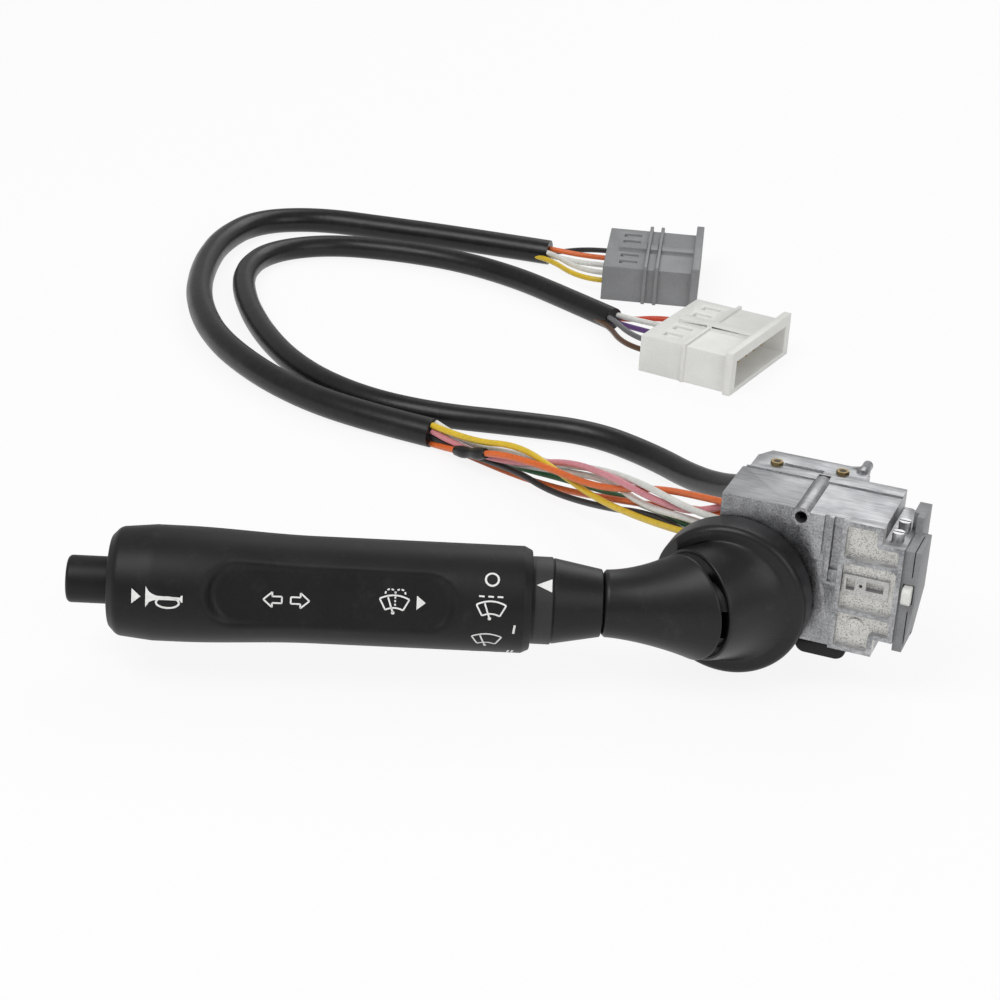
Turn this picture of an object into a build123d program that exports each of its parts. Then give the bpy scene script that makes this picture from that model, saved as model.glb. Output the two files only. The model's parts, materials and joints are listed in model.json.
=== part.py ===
from build123d import *
import math
import os

os.makedirs("parts", exist_ok=True)

# Combination stalk switch of a heavy vehicle's steering column. Millimetres, +Z up, +Y rearward.
# The model is laid out about the switch's own centre C: where the turn axis (along Y) meets the
# housing's front face. write() moves everything so that the origin is the fixing bore.

# ---- driving dimensions -------------------------------------------------------------------
fix_x, fix_z = 16.5, 26.4          # fixing bore, from C
bore_r, tube_r = 1.75, 2.85        # fixing bore and its tube
tube_front, tube_back = -1.5, 22.0
floor_z = -25.0                    # lowest face of the switch as it lies
run_fit = 0.05                     # radial running clearance
air = 0.35                         # clearance between pieces that pass each other

left_x, right_x, top_z, low_z = -6.5, 45.8, 28.6, -11.0   # zinc casting
step_x, deep_y, shallow_y = 28.0, 34.0, 26.0
notch_x, notch_z = 39.6, 23.2
plate_t, wall_t, face_pad = 3.0, 2.4, 1.5
plate_drop = 0.5                     # lowered front of the top plate
cell_x, cell_rib, cell_depth = 29.6, 1.4, 2.0
cell_levels = (1.2, 16.4)            # middles of the two cross ribs
foot_x, foot_z = 40.4, -5.6          # lower right corner of the casting
slot_y, slot_w, slot_deep = 26.0, 2.0, 1.4
peg_r, peg_len, peg_in, peg_root = 1.5, 4.6, 2.6, 3.6
rivet_r, rivet_h = 1.9, 0.8

bush_r, bush_len, bush_boss_r = 10.5, 9.0, 13.0
shaft_r = 8.0
clip_t, clip_r, clip_groove = 1.2, 9.3, 0.8
clip_y = bush_len + 0.3              # clip, arm and carrier stand in line behind the bush
arm_y, arm_t, arm_reach = clip_y + clip_t + 0.4, 4.6, 15.0
shaft_end = arm_y + arm_t + 1.0
detent_r, detent_tip, detent_step = 16.9, 1.2, 12.0

bell_r, bell_gap, bell_t, bell_shoulder = 25.0, 0.6, 9.0, 4.5
bell_wall, bell_hub_r = 2.2, 12.0
pivot_y = -14.0                    # lever pivot, on the turn axis
stalk_yaw = 22.0
ball_r, slot_h, pin_r, pin_half = 10.5, 8.1, 2.5, 9.4
eye_r, tang_h = 6.2, 7.7
mouth_t, mouth_r, channel = 9.5, 15.0, 2.7
face_r, face_root_r = 15.6, bell_r - bell_shoulder

rod_r, rod_end = 3.5, 103.0        # stations below are measured outward from the pivot
neck_end, neck_r, neck_wall = 32.4, 9.3, 1.8
collar_in, collar_out, collar_r, collar_neck_r = 33.0, 53.0, 12.0, 9.3
collar_band = 46.5
grip_in, grip_out = 52.4, 167.0
grip_r, bulge_r, grip_end_r = 14.7, 15.9, 11.8
skirt_r, skirt_floor = 12.3, 57.8
core_r, core_in, core_out = 10.4, 64.0, 149.5
web_t, web_at = 4.0, 100.0
scoop_in, scoop_out, scoop_w, scoop_floor, face_tilt = 72.0, 141.0, 20.0, 11.9, 17.0
sleeve_r, sleeve_end = 6.0, 107.4
drum_in, drum_len, drum_bore = 108.2, 8.0, 6.8
wash_travel, horn_travel = 4.0, 3.5
button_r, button_out, button_flange = 6.5, 179.0, 8.4

cover_t, cover_foot, cover_top, cover_low, cover_deep = 4.4, 2.8, notch_z - 0.6, -8.0, 13.0
cover_knee = 7.0
tab_in, tab_out, tab_y0, tab_y1, tab_z = 1.4, 2.0, 14.0, 21.5, top_z - 0.8
pawl_w, pawl_h, pawl_z, pawl_len, pawl_out, pawl_travel = 2.5, 5.1, 9.8, 12.5, 3.4, 2.5
cap_x0, cap_x1, cap_y0, cap_y1, cap_h = 18.5, 33.0, 0.2, 13.0, 4.2
carrier_y, carrier_back = shaft_end + 1.5, 31.0

wire_r, sleeve_a_r, sleeve_b_r, lead_gap = 1.05, 4.4, 5.0, 0.3
plug_len, plug_w, plug_h, plug_wall, plug_depth = 38.0, 48.0, 14.0, 1.8, 13.0

# ---- frames -------------------------------------------------------------------------------
yaw = math.radians(stalk_yaw)
out = Vector(-math.cos(yaw), -math.sin(yaw), 0)
pivot = Vector(0, pivot_y, 0)
stalk = Plane(origin=pivot, x_dir=(0, 0, 1), z_dir=out)      # local x is up, z is outward
mitre_n = (out + Vector(0, -1, 0)).normalized()
mouth_c = pivot + out * mouth_t
mouth = Plane(origin=mouth_c, x_dir=(0, 0, 1), z_dir=mitre_n)
bell_face = Plane(origin=mouth_c - mitre_n * channel, x_dir=(0, 0, 1), z_dir=mitre_n)
origin_shift = Location((-fix_x, 0, -fix_z))


def write(name, shape):
    solids = shape.solids()
    whole = solids[0] if len(solids) == 1 else Compound(children=list(solids))
    export_step(origin_shift * whole, "parts/" + name + ".step")


def block(x0, x1, y0, y1, z0, z1):
    return Pos((x0 + x1) / 2, (y0 + y1) / 2, (z0 + z1) / 2) * Box(x1 - x0, y1 - y0, z1 - z0)


def along_y(r, y0, y1, x=0.0, z=0.0):
    return Pos(x, (y0 + y1) / 2, z) * Rot(90, 0, 0) * Cylinder(r, y1 - y0)


def along_z(r, z0, z1, x=0.0, y=0.0):
    return Pos(x, y, (z0 + z1) / 2) * Cylinder(r, z1 - z0)


def on_stalk(r, t0, t1):
    return Pos(0, 0, (t0 + t1) / 2) * Cylinder(r, t1 - t0)


def big_side(plane, size=120.0):
    """A large block on the side that the plane's normal points to."""
    return plane.location * Pos(0, 0, size / 2) * Box(size, size, size)


# ---- housing ------------------------------------------------------------------------------
def rib_field():
    """Raised ribs on the front face, right of the bell, with three sunken cells."""
    left, floor = cell_x - cell_rib, face_pad - cell_depth
    pad = block(left, right_x, -face_pad, 0, low_z, top_z - plate_drop)
    low, high = (z + cell_rib / 2 for z in cell_levels)
    low_top, mid_top = (z - cell_rib / 2 for z in cell_levels)
    right = right_x - cell_rib
    cells = block(cell_x, foot_x - cell_rib, -9, -floor, low_z + cell_rib, low_top)
    cells += block(cell_x, right, -9, -floor, foot_z + cell_rib, low_top)
    cells += block(cell_x, right, -9, -floor, low, mid_top)
    cells += block(cell_x, right, -9, -floor, high, notch_z - cell_rib)
    cells += block(cell_x, notch_x - cell_rib, -9, -floor, high, top_z - plate_drop - cell_rib)
    return pad, fillet(cells.edges().filter_by(Axis.Y), 0.9)


def window_bar():
    """Raised bar across the middle cell, with two windows and a pin hole in it."""
    mid, floor = sum(cell_levels) / 2, cell_depth - face_pad
    bar = block(cell_x + 0.4, right_x - cell_rib - 1.6, floor - 0.9, floor, mid - 2.8, mid + 3.2)
    cuts = block(cell_x + 1.3, cell_x + 3.8, -9, floor + 1.2, mid - 1.4, mid + 1.9)
    cuts += block(cell_x + 6.9, cell_x + 11.8, -9, floor + 1.2, mid - 0.7, mid + 2.0)
    return bar, cuts + along_y(0.5, -9, floor + 1.2, cell_x + 5.4, mid + 0.3)


def date_pad():
    """Plain round pad in the lower cell."""
    floor = cell_depth - face_pad
    pad = along_y(2.4, floor - 0.5, floor, cell_x + 5.2, cell_levels[0] - 4.7)
    return pad - along_y(1.9, -1, floor - 0.2, cell_x + 5.2, cell_levels[0] - 4.7)


def tongue():
    """Web that hangs from the fixing tube, with the cross rib and the rib beside the slot."""
    web = block(fix_x - 0.5, fix_x + 6.5, -1.2, 0, 17.5, top_z - plate_drop)
    web += along_y(3.5, -1.2, 0, fix_x + 3.0, 17.5)
    web += block(fix_x, cell_x, -1.2, 0, 7.4, 8.8)
    web += block(cell_x - cell_rib - 3.8, cell_x - cell_rib - 2.6, -1.2, 0, 8.0, top_z - plate_drop)
    return web - along_y(bell_r + 0.8, -5, 0.01)


def fixing_tube():
    body = along_y(tube_r, tube_front, tube_back, fix_x, fix_z)
    hole = along_y(bore_r, tube_front - 1, tube_back + 1, fix_x, fix_z)
    return body, hole + block(fix_x - bore_r, fix_x + bore_r, tube_back, tube_back + 2.2, fix_z - 1, top_z + 1)


def locating_peg():
    """Peg that points rearward from the plate's corner, on a root that lies on the plate."""
    x, z = step_x - peg_in, top_z - peg_r / 2
    root = along_y(peg_r + 0.3, deep_y - peg_root, deep_y, x, z)
    web = Polygon((x - 3.6, top_z), (x, top_z), (x, z + peg_r), align=None)
    root += Pos(0, deep_y, 0) * Rot(90, 0, 0) * extrude(web, 1.4)
    return root + along_y(peg_r, deep_y - 1, deep_y + peg_len, x, z)


def switch_housing():
    outline = Polygon((left_x, 0), (right_x, 0), (right_x, shallow_y - 3), (right_x - 4, shallow_y),
                      (step_x, shallow_y), (step_x, deep_y - 4), (step_x - 3, deep_y), (left_x + 5, deep_y),
                      (left_x + 2, deep_y - 5), (left_x + 2, 21), (left_x, 20), align=None)
    body = Pos(0, 0, low_z) * extrude(outline, top_z - low_z)
    pad, cells = rib_field()
    body += pad
    # the room behind, open to the left and the rear
    body -= block(left_x - 9, step_x - wall_t, plate_t, deep_y + 9, low_z + wall_t, top_z - plate_t)
    body -= block(left_x - 9, notch_x - wall_t, plate_t, shallow_y + 9, low_z + wall_t, top_z - plate_t)
    # lowered front field of the top plate, and the slot behind it
    body -= block(left_x - 1, right_x + 1, -5, 20.5, top_z - plate_drop, top_z + 1)
    body -= block(4.0, 15.5, slot_y - slot_w / 2, slot_y + slot_w / 2, top_z - slot_deep, top_z + 1)
    # the top right corner steps down and the lower right corner steps up
    body -= block(notch_x, right_x + 1, -5, deep_y + 1, notch_z, top_z + 1)
    body -= block(foot_x, right_x + 1, -5, deep_y + 1, low_z - 1, foot_z)
    bar, windows = window_bar()
    body = body - cells + bar - windows + date_pad() + tongue()
    body -= block(cell_x - cell_rib - 2.6, cell_x - cell_rib, -1, 1.3, 12.0, top_z - 3)
    tube, hole = fixing_tube()
    body = body + tube - hole + locating_peg()
    # bearing boss behind the front plate
    boss = along_y(bush_boss_r, 2.0, bush_len)
    body += boss & block(left_x, bush_boss_r, 0, deep_y, low_z, top_z)
    body -= along_y(clip_r + air, bush_len, carrier_y)
    return body - along_y(bush_r, -1, bush_len + 1)


def side_cover():
    x0, x1 = right_x, right_x + cover_t
    plate = Polygon((x0, cover_low), (x0 + cover_foot, cover_low), (x1, cover_knee), (x1, cover_top),
                    (x0, cover_top), align=None)
    body = Pos(0, cover_deep, 0) * Rot(90, 0, 0) * extrude(plate, cover_deep + 0.5)
    groove = block(x0 + 2.7, x0 + 3.0, -9, cover_deep - 2, cover_low - 1, cover_top + 9)
    body -= groove - block(x0, x1, -9, cover_deep, pawl_z - pawl_h, pawl_z + pawl_h)
    body += block(x0, x0 + tab_out, cover_deep - 2, tab_y1, cover_top - 7, tab_z)
    body += block(x0 - tab_in, x0 + tab_out, tab_y0, tab_y1, notch_z, tab_z)
    slot_x = x0 + cover_t / 2
    side = pawl_w / 2 + air
    body -= block(slot_x - side, slot_x + side, -9, pawl_len - pawl_out + pawl_travel + air,
                  pawl_z - pawl_h / 2 - air, pawl_z + pawl_h / 2 + air)
    return body


def cancel_pawl():
    x = right_x + cover_t / 2
    body = block(x - pawl_w / 2, x + pawl_w / 2, -pawl_out, pawl_len - pawl_out,
                 pawl_z - pawl_h / 2, pawl_z + pawl_h / 2)
    return fillet(body.edges().filter_by(Axis.X).group_by(Axis.Y)[0], 1.6)


def lower_cap():
    body = block(cap_x0, cap_x1, cap_y0, cap_y1, low_z - cap_h, low_z)
    low = body.edges().filter_by(Axis.Y).group_by(Axis.Z)[0]
    return fillet(low, 3.0)


def contact_carrier():
    body = block(left_x + 0.5, step_x - wall_t, carrier_y, carrier_back, low_z + wall_t, top_z - plate_t)
    body += block(step_x - wall_t - 1, notch_x - wall_t, carrier_y, shallow_y - 1.5,
                  low_z + wall_t, top_z - plate_t)
    body -= along_y(tube_r + air, carrier_y - 1, tube_back + 3, fix_x, fix_z)
    for z in wire_rows:
        body -= block(left_x - 1, left_x + 1.6, carrier_y + 1, carrier_back - 1, z - 2.6, z - 2.2)
    return body


def contact_blades():
    body = block(-5.0, -1.5, carrier_y - 0.8, carrier_y, -6, 14)
    for x in (2.0, 9.0, 16.0, 23.0):
        body += block(x, x + 3.5, carrier_y - 0.8, carrier_y, -6, 14)
    return body + block(-5.0, 26.5, carrier_y - 0.8, carrier_y, 12.4, 14)


def top_rivets():
    body = None
    for x, y in ((2.0, slot_y - 0.5), (20.5, deep_y - 6.0)):
        head = Pos(x, y, top_z) * extrude(RegularPolygon(rivet_r, 6), rivet_h)
        body = head if body is None else body + head
    return body


def cover_screws():
    body = None
    x, rise = (notch_x + right_x) / 2, 2.6
    for y in (3.6, 11.5):
        head = along_z(1.7, notch_z, notch_z + rise, x, y)
        head -= block(x - 2, x + 2, y - 0.3, y + 0.3, notch_z + rise - 0.6, notch_z + rise + 1)
        body = head if body is None else body + head
    return body


def pivot_bush():
    return along_y(bush_r, 0, bush_len) - along_y(shaft_r + run_fit, -1, bush_len + 1)


def detent_cam():
    top = top_z - plate_t
    body = block(left_x + 0.6, -left_x - 0.6, arm_y + 0.3, arm_y + arm_t - 0.3, detent_r + 0.4, top)
    body -= along_y(detent_r + detent_tip + air, arm_y - 1, arm_y + arm_t + 1)
    for k in (-1, 0, 1):
        a = math.radians(k * detent_step)
        rr = detent_r + 0.5
        body -= along_y(detent_tip + 0.4, arm_y - 1, arm_y + arm_t + 1, rr * math.sin(a), rr * math.cos(a))
    return body


# ---- turn carrier -------------------------------------------------------------------------
def turn_shaft():
    body = along_y(shaft_r, pivot_y, shaft_end)
    body += Pos(*pivot) * Sphere(ball_r)
    body -= along_y(shaft_r + 1, clip_y, clip_y + clip_t) - along_y(
        shaft_r - clip_groove, bush_len, arm_y)
    swing = Pos(*pivot) * Rot(0, 0, 180 + stalk_yaw) * Pos(30 - eye_r - 0.5, 0, 0) * Box(60, 60, slot_h)
    body -= swing & (Pos(*pivot) * Sphere(ball_r + 1))
    body -= along_z(pin_r + run_fit, -ball_r - 1, ball_r + 1, 0, pivot_y)
    return body


def retaining_clip():
    ring = along_y(clip_r, clip_y, clip_y + clip_t)
    ring -= along_y(shaft_r - clip_groove, bush_len, arm_y)
    return ring - block(-2, 2, bush_len, arm_y, -clip_r - 1, -shaft_r / 2)


def detent_arm():
    body = along_y(shaft_r + 1.2, arm_y, arm_y + arm_t) + block(-2.6, 2.6, arm_y, arm_y + arm_t, 5, arm_reach)
    return body - along_y(shaft_r, arm_y - 1, arm_y + arm_t + 1)


def detent_plunger():
    body = block(-detent_tip, detent_tip, arm_y + 1, arm_y + arm_t - 1, arm_reach, detent_r)
    return body + along_y(detent_tip, arm_y + 1, arm_y + arm_t - 1, 0, detent_r)


def bell():
    drum = along_y(bell_r, -bell_gap - bell_t, -bell_gap)
    drum = fillet(drum.edges().group_by(Axis.Y)[0], bell_shoulder)
    root = Plane(origin=(0, -bell_gap - bell_t + 0.6, 0), x_dir=(0, 0, 1), z_dir=(0, -1, 0))
    dome = loft([root * Circle(face_root_r), bell_face * Circle(face_r)], ruled=True)
    body = drum + dome
    room = along_y(bell_r - bell_wall, -bell_gap - bell_t + bell_wall, 0) - along_y(bell_hub_r, -30, 5)
    body -= room
    body -= big_side(bell_face)
    body -= Pos(*pivot) * Sphere(ball_r)
    return body - along_y(shaft_r, pivot_y, 5)


bell_seam = -7.5


def bell_upper():
    return bell() & block(-60, 60, -60, 10, bell_seam, 60)


def bell_lower():
    return bell() & block(-60, 60, -60, 10, -60, bell_seam)


# ---- lever --------------------------------------------------------------------------------
def lever_rod():
    eye = Rot(0, 90, 0) * Cylinder(eye_r, tang_h)
    tang = Pos(0, 0, 4.5) * Box(tang_h, 2 * rod_r, 9.0)
    rod = on_stalk(rod_r, 8.0, rod_end)
    body = eye + tang + rod
    body -= Rot(0, 90, 0) * Cylinder(pin_r, tang_h + 4)
    return stalk.location * body


def pivot_pin():
    return along_z(pin_r, -pin_half, pin_half, 0, pivot_y)


neck_seam = -5.0


def neck():
    small = Plane(origin=pivot + out * neck_end, x_dir=(0, 0, 1), z_dir=out)
    waist = Plane(origin=pivot + out * (neck_end - 8.0), x_dir=(0, 0, 1), z_dir=out)
    body = loft([small * Circle(neck_r), waist * Circle(neck_r + 0.9), mouth * Circle(mouth_r)])
    inner_small = Plane(origin=pivot + out * (neck_end - 4.0), x_dir=(0, 0, 1), z_dir=out)
    wide = Plane(origin=mouth_c - mitre_n * 0.8, x_dir=(0, 0, 1), z_dir=mitre_n)
    body -= loft([inner_small * Circle(neck_r - neck_wall), wide * Circle(mouth_r - neck_wall)], ruled=True)
    body -= Pos(*pivot) * Sphere(ball_r + 0.6)
    return body - stalk.location * on_stalk(rod_r, 2.0, neck_end + 5)


def neck_upper():
    return neck() & block(-90, 60, -90, 30, neck_seam, 60)


def neck_lower():
    return neck() & block(-90, 60, -90, 30, -60, neck_seam)


def index_collar():
    profile = Polygon((0, collar_in), (collar_neck_r, collar_in), (collar_r, collar_band),
                      (collar_r, collar_out), (0, collar_out), align=None)
    body = revolve(Plane.XZ * profile, Axis.Z)
    body -= on_stalk(rod_r, collar_in - 1, collar_out + 1)
    body -= on_stalk(collar_r + 1, collar_band + 0.1, collar_band + 0.5) - on_stalk(
        collar_r - 0.4, collar_band - 1, collar_band + 2)
    return stalk.location * body


# ---- wash sleeve, handle, button -----------------------------------------------------------
def wash_sleeve():
    body = on_stalk(sleeve_r, skirt_floor + 0.2, sleeve_end)
    body += on_stalk(core_r - 1.2, web_at - 2.0, web_at - 0.15)
    body += on_stalk(core_r - 1.2, web_at + web_t + 0.15, web_at + web_t + 1.8)
    body -= on_stalk(rod_r + run_fit, 0, 200)
    return stalk.location * body


def grip():
    with BuildPart() as part:
        with BuildSketch(Plane.XZ):
            with BuildLine():
                Polyline((0, grip_in), (grip_r - 1.1, grip_in), (grip_r, grip_in + 2.2),
                         (grip_r, core_in - 4))
                Spline((grip_r, core_in - 4), (grip_r, grip_out - 52), (bulge_r, grip_out - 18),
                       (bulge_r, grip_out - 8), tangents=((0, 1), (0, 1)))
                ThreePointArc((bulge_r, grip_out - 8), (bulge_r - 1.3, grip_out - 2.6),
                              (grip_end_r, grip_out))
                Polyline((grip_end_r, grip_out), (0, grip_out), (0, grip_in))
            make_face()
        revolve(axis=Axis.Z)
    body = part.part
    body -= on_stalk(skirt_r, grip_in - 1, skirt_floor)
    body -= on_stalk(sleeve_r + run_fit, grip_in - 1, core_out - 1)
    body -= on_stalk(core_r, core_in, web_at) + on_stalk(core_r, web_at + web_t, core_out)
    body -= on_stalk(button_r + run_fit, core_out - 5, grip_out + 5)
    scoop = SlotOverall(scoop_out - scoop_in, scoop_w)
    face = Plane(origin=(0, 0, (scoop_in + scoop_out) / 2), x_dir=(0, 0, 1), z_dir=front_n)
    body -= face * Pos(0, 0, scoop_floor) * extrude(scoop, 12)
    return body


tilt = math.radians(face_tilt)
front_n = (math.sin(tilt), -math.cos(tilt), 0)      # handle's symbol face, in the stalk's frame


def grip_half(sign):
    side = Plane(origin=(0, 0, 100), x_dir=(0, 0, 1), z_dir=tuple(sign * v for v in front_n))
    return stalk.location * (grip() & (side.location * Pos(0, 0, 60) * Box(300, 120, 120)))


def wiper_drum():
    return stalk.location * (on_stalk(core_r, drum_in, drum_in + drum_len)
                             - on_stalk(drum_bore, drum_in - 1, drum_in + drum_len + 1))


def horn_button():
    body = on_stalk(button_r, core_out - 0.3, button_out)
    body = fillet(body.edges().group_by(Axis.Z)[-1], 1.8)
    body += on_stalk(button_flange, core_out - 2.7, core_out - 0.3)
    return stalk.location * body


# ---- harness ------------------------------------------------------------------------------
wire_rows = (15.0, 9.0, 3.0, -3.0)
wire_cols = (21.5, 27.0)


def cord(points, r, name):
    """A round cord: straight runs joined by tangent arcs."""
    pts = [Vector(*p) for p in points]
    radii = []
    for a, b, c in zip(pts[:-2], pts[1:-1], pts[2:]):
        turn = (b - a).get_angle(c - b)
        radii.append(0.45 * min((b - a).length, (c - b).length) / math.tan(math.radians(turn / 2)))
    if radii:
        path = FilletPolyline(*pts, radius=radii)
    else:
        path = Line(*pts)
    start = Plane(origin=pts[0], z_dir=(pts[1] - pts[0]).normalized())
    body = sweep(start * Circle(r), path=path)
    want = math.pi * r * r * path.length
    print(name, "length %.0f" % path.length, "least radius %.1f" % (min(radii) if radii else 0),
          "volume ratio %.4f" % (body.volume / want))
    return body


sleeve_a_exit = (1.0, carrier_back + 4.0, 9.0)
sleeve_a_route = [sleeve_a_exit, (1.0, 50.0, 9.0), (-8, 66, 3), (-24, 83, -9), (-42, 102, -17),
                  (-62, 120, -20.3), (-86, 129, -20.4), (-112, 124, -20.4), (-140, 117, -20.4),
                  (-168, 118, -20.4), (-196, 130, -20.4), (-222, 153, -20.4), (-246, 183, -20.4),
                  (-262, 212, -20.4), (-264, 238, -20.4), (-248, 258, -20.4), (-222, 266, -20.4),
                  (-194, 268, -20.4), (-168, 262, -20.4), (-146, 252, -20.4), (-125, 241, -20.4)]
sleeve_b_route = [(-134, 101, -19.8), (-160, 103, -19.8), (-188, 110, -19.8), (-214, 124, -19.8),
                  (-240, 145, -19.8), (-263, 176, -19.8), (-278, 210, -19.8), (-287, 241, -19.8),
                  (-284, 268, -19.8), (-264, 284, -19.8), (-234, 288, -19.8), (-203, 292, -19.8),
                  (-174, 294, -19.8)]

mouth_b = Vector(*sleeve_b_route[0])
mouth_b_dir = (mouth_b - Vector(*sleeve_b_route[1])).normalized()
mouth_b_side = Vector(-mouth_b_dir.Y, mouth_b_dir.X, 0).normalized()


def lead_route(row, col):
    """One wire from the mouth of sleeve B to its place in the contact carrier."""
    side = -1 if col == 0 else 1
    up = (3.45, 1.15, -1.15, -3.45)[row]
    start = mouth_b + mouth_b_dir * 2 * lead_gap + mouth_b_side * (1.3 * side) + Vector(0, 0, up)
    wide1 = (1.5, -1.5, 2.0, -2.0)[row] + 4.0 * side
    wide2 = (3.0, -3.0, 4.0, -4.0)[row] + 6.5 * side
    wide3 = (1.0, -1.0, 1.0, -1.0)[row] + 4.5 * side
    high1 = (5.0, 1.8, -1.2, -3.8)[row]
    high2 = (8.5, 3.2, -1.8, -6.4)[row]
    high3 = (10.0, 3.6, -2.6, -8.4)[row]
    if row == 0 and col == 0:
        wide1, high1 = -8.0, 9.0
    end = Vector(left_x + 0.5 - lead_gap, wire_cols[col], wire_rows[row])
    return [start, Vector(-105 + row, 89 + wide1, -19.5 + high1), Vector(-74 - row, 76 + wide2, -16.4 + high2),
            Vector(-46 + row, 52 + wide3, -5 + high3), Vector(-26, wire_cols[col] + 6.5, wire_rows[row] - 1.0), end]


lead_names = (("wire_orange_spliced", "wire_white_a"), ("wire_yellow", "wire_pink"),
              ("wire_orange", "wire_white_b"), ("wire_black", "wire_green"))
splice_from, splice_len, splice_r = 12.0, 14.0, 2.1


def plug_frame(x, y, angle):
    return Plane(origin=(x, y, floor_z), x_dir=(math.cos(math.radians(angle)), math.sin(math.radians(angle)), 0),
                 z_dir=(0, 0, 1))


white_plug = plug_frame(-91.0, 226.0, -8.0)
grey_plug = plug_frame(-138.0, 290.0, 15.0)
plug_pins = (-17.5, -10.5, -3.5, 3.5, 10.5, 17.5)
pin_len, pin_w, pin_root = 6.0, 1.2, 2.0


def plug_body(flanges, mouth_grow):
    half = plug_w / 2
    body = block(0, plug_len, -half, half, 0, plug_h)
    for x, t, grow in flanges:
        body += block(x, x + t, -half - grow, half + grow, 0, plug_h + grow)
    body += block(plug_len - 3, plug_len, -half - mouth_grow, half + mouth_grow, 0, plug_h + mouth_grow)
    body += block(5, plug_len - 3, -3, 3, plug_h, plug_h + 1.4)
    body -= block(plug_len - plug_depth, plug_len + 1, -half + plug_wall, half - plug_wall,
                  plug_wall, plug_h - plug_wall)
    return body


def plug_lock_pocket():
    cut = None
    for y in (-16.5, -8.5, 8.5, 16.5):
        piece = block(6, 13, y - 2, y + 2, plug_h - 1.6, plug_h + 1)
        cut = piece if cut is None else cut + piece
    return cut


def plug_lock():
    body = None
    for y in (-16.5, -8.5, 8.5, 16.5):
        piece = block(7.2, 13, y - 2, y + 0.6, plug_h - 1.6, plug_h - 0.5)
        body = piece if body is None else body + piece
    return body


def plug_contacts():
    body = None
    floor = plug_len - plug_depth
    for y in plug_pins:
        for z in (0.36, 0.64):
            pin = block(floor, floor + pin_len, y - pin_w / 2, y + pin_w / 2,
                        plug_h * z - pin_w / 2, plug_h * z + pin_w / 2)
            body = pin if body is None else body + pin
    return body


def plug_leads(route, frame, names):
    """Wires that fan from a sleeve's end to the back of its plug."""
    tip, before = Vector(*route[-1]), Vector(*route[-2])
    axis = (tip - before).normalized()
    side = Vector(-axis.Y, axis.X, 0).normalized()
    back = frame.x_dir
    across = Vector(-back.Y, back.X, 0)
    made = []
    for k, name in enumerate(names):
        a = k - (len(names) - 1) / 2
        start = tip + axis * lead_gap + side * (1.45 * a) + Vector(0, 0, 1.2 if k % 2 else -1.2)
        target = frame.origin + across * (lead_pitch * a) - back * lead_gap + Vector(0, 0, plug_h * 0.42)
        made.append((name, [start, start + axis * lead_run, target - back * lead_run, target]))
    return made


lead_pitch, lead_run = 9.0, 9.5
white_leads = plug_leads(sleeve_a_route, white_plug, ("plug_wire_brown", "plug_wire_grey", "plug_wire_violet",
                                                      "plug_wire_white", "plug_wire_red"))
grey_leads = plug_leads(sleeve_b_route, grey_plug, ("plug_wire_yellow", "plug_wire_white_b",
                                                    "plug_wire_white_c", "plug_wire_orange",
                                                    "plug_wire_black"))


def make_harness():
    write("harness_sleeve_a", cord(sleeve_a_route, sleeve_a_r, "harness_sleeve_a"))
    write("harness_sleeve_b", cord(sleeve_b_route, sleeve_b_r, "harness_sleeve_b"))
    for row in range(4):
        for col in range(2):
            name = lead_names[row][col]
            route = lead_route(row, col)
            if name == "wire_orange_spliced":
                go = (route[1] - route[0]).normalized()
                near, far = route[0] + go * splice_from, route[0] + go * (splice_from + splice_len)
                write("splice_stub", cord([route[0], near], wire_r, "splice_stub"))
                write("splice_sleeve", cord([near, far], splice_r, "splice_sleeve"))
                route = [far, far + go * 12.0] + route[2:]
            write(name, cord(route, wire_r, name))
    for name, route in white_leads + grey_leads:
        write(name, cord(route, wire_r, name))


def make_plugs():
    for name, frame, flanges, grow in (
            ("white_plug", white_plug, ((17.0, 1.4, 1.0),), 2.4),
            ("grey_plug", grey_plug, ((16.0, 1.4, 1.6), (20.5, 1.4, 1.6)), 3.0)):
        body = plug_body(flanges, grow) - plug_lock_pocket()
        write(name, frame.location * body)
        write(name + "_lock", frame.location * plug_lock())
        write(name + "_pins", frame.location * plug_contacts())


def lead_grommet():
    x, y, z = sleeve_a_exit
    return along_y(6.2, carrier_back, y - 0.3, x, z)


write("switch_housing", switch_housing())
write("side_cover", side_cover())
write("cancel_pawl", cancel_pawl())
write("lower_cap", lower_cap())
write("contact_carrier", contact_carrier())
write("contact_blades", contact_blades())
write("top_rivets", top_rivets())
write("cover_screws", cover_screws())
write("pivot_bush", pivot_bush())
write("detent_cam", detent_cam())
write("lead_grommet", lead_grommet())
write("turn_shaft", turn_shaft())
write("retaining_clip", retaining_clip())
write("detent_arm", detent_arm())
write("detent_plunger", detent_plunger())
write("bell_upper", bell_upper())
write("bell_lower", bell_lower())
write("lever_rod", lever_rod())
write("pivot_pin", pivot_pin())
write("neck_upper", neck_upper())
write("neck_lower", neck_lower())
write("index_collar", index_collar())
write("wash_sleeve", wash_sleeve())
write("handle_front", grip_half(1))
write("handle_rear", grip_half(-1))
write("wiper_drum", wiper_drum())
write("horn_button", horn_button())
make_harness()
make_plugs()
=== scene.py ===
import json
import math

import bmesh
import bpy
import numpy as np
from mathutils import Matrix, Vector

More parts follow.
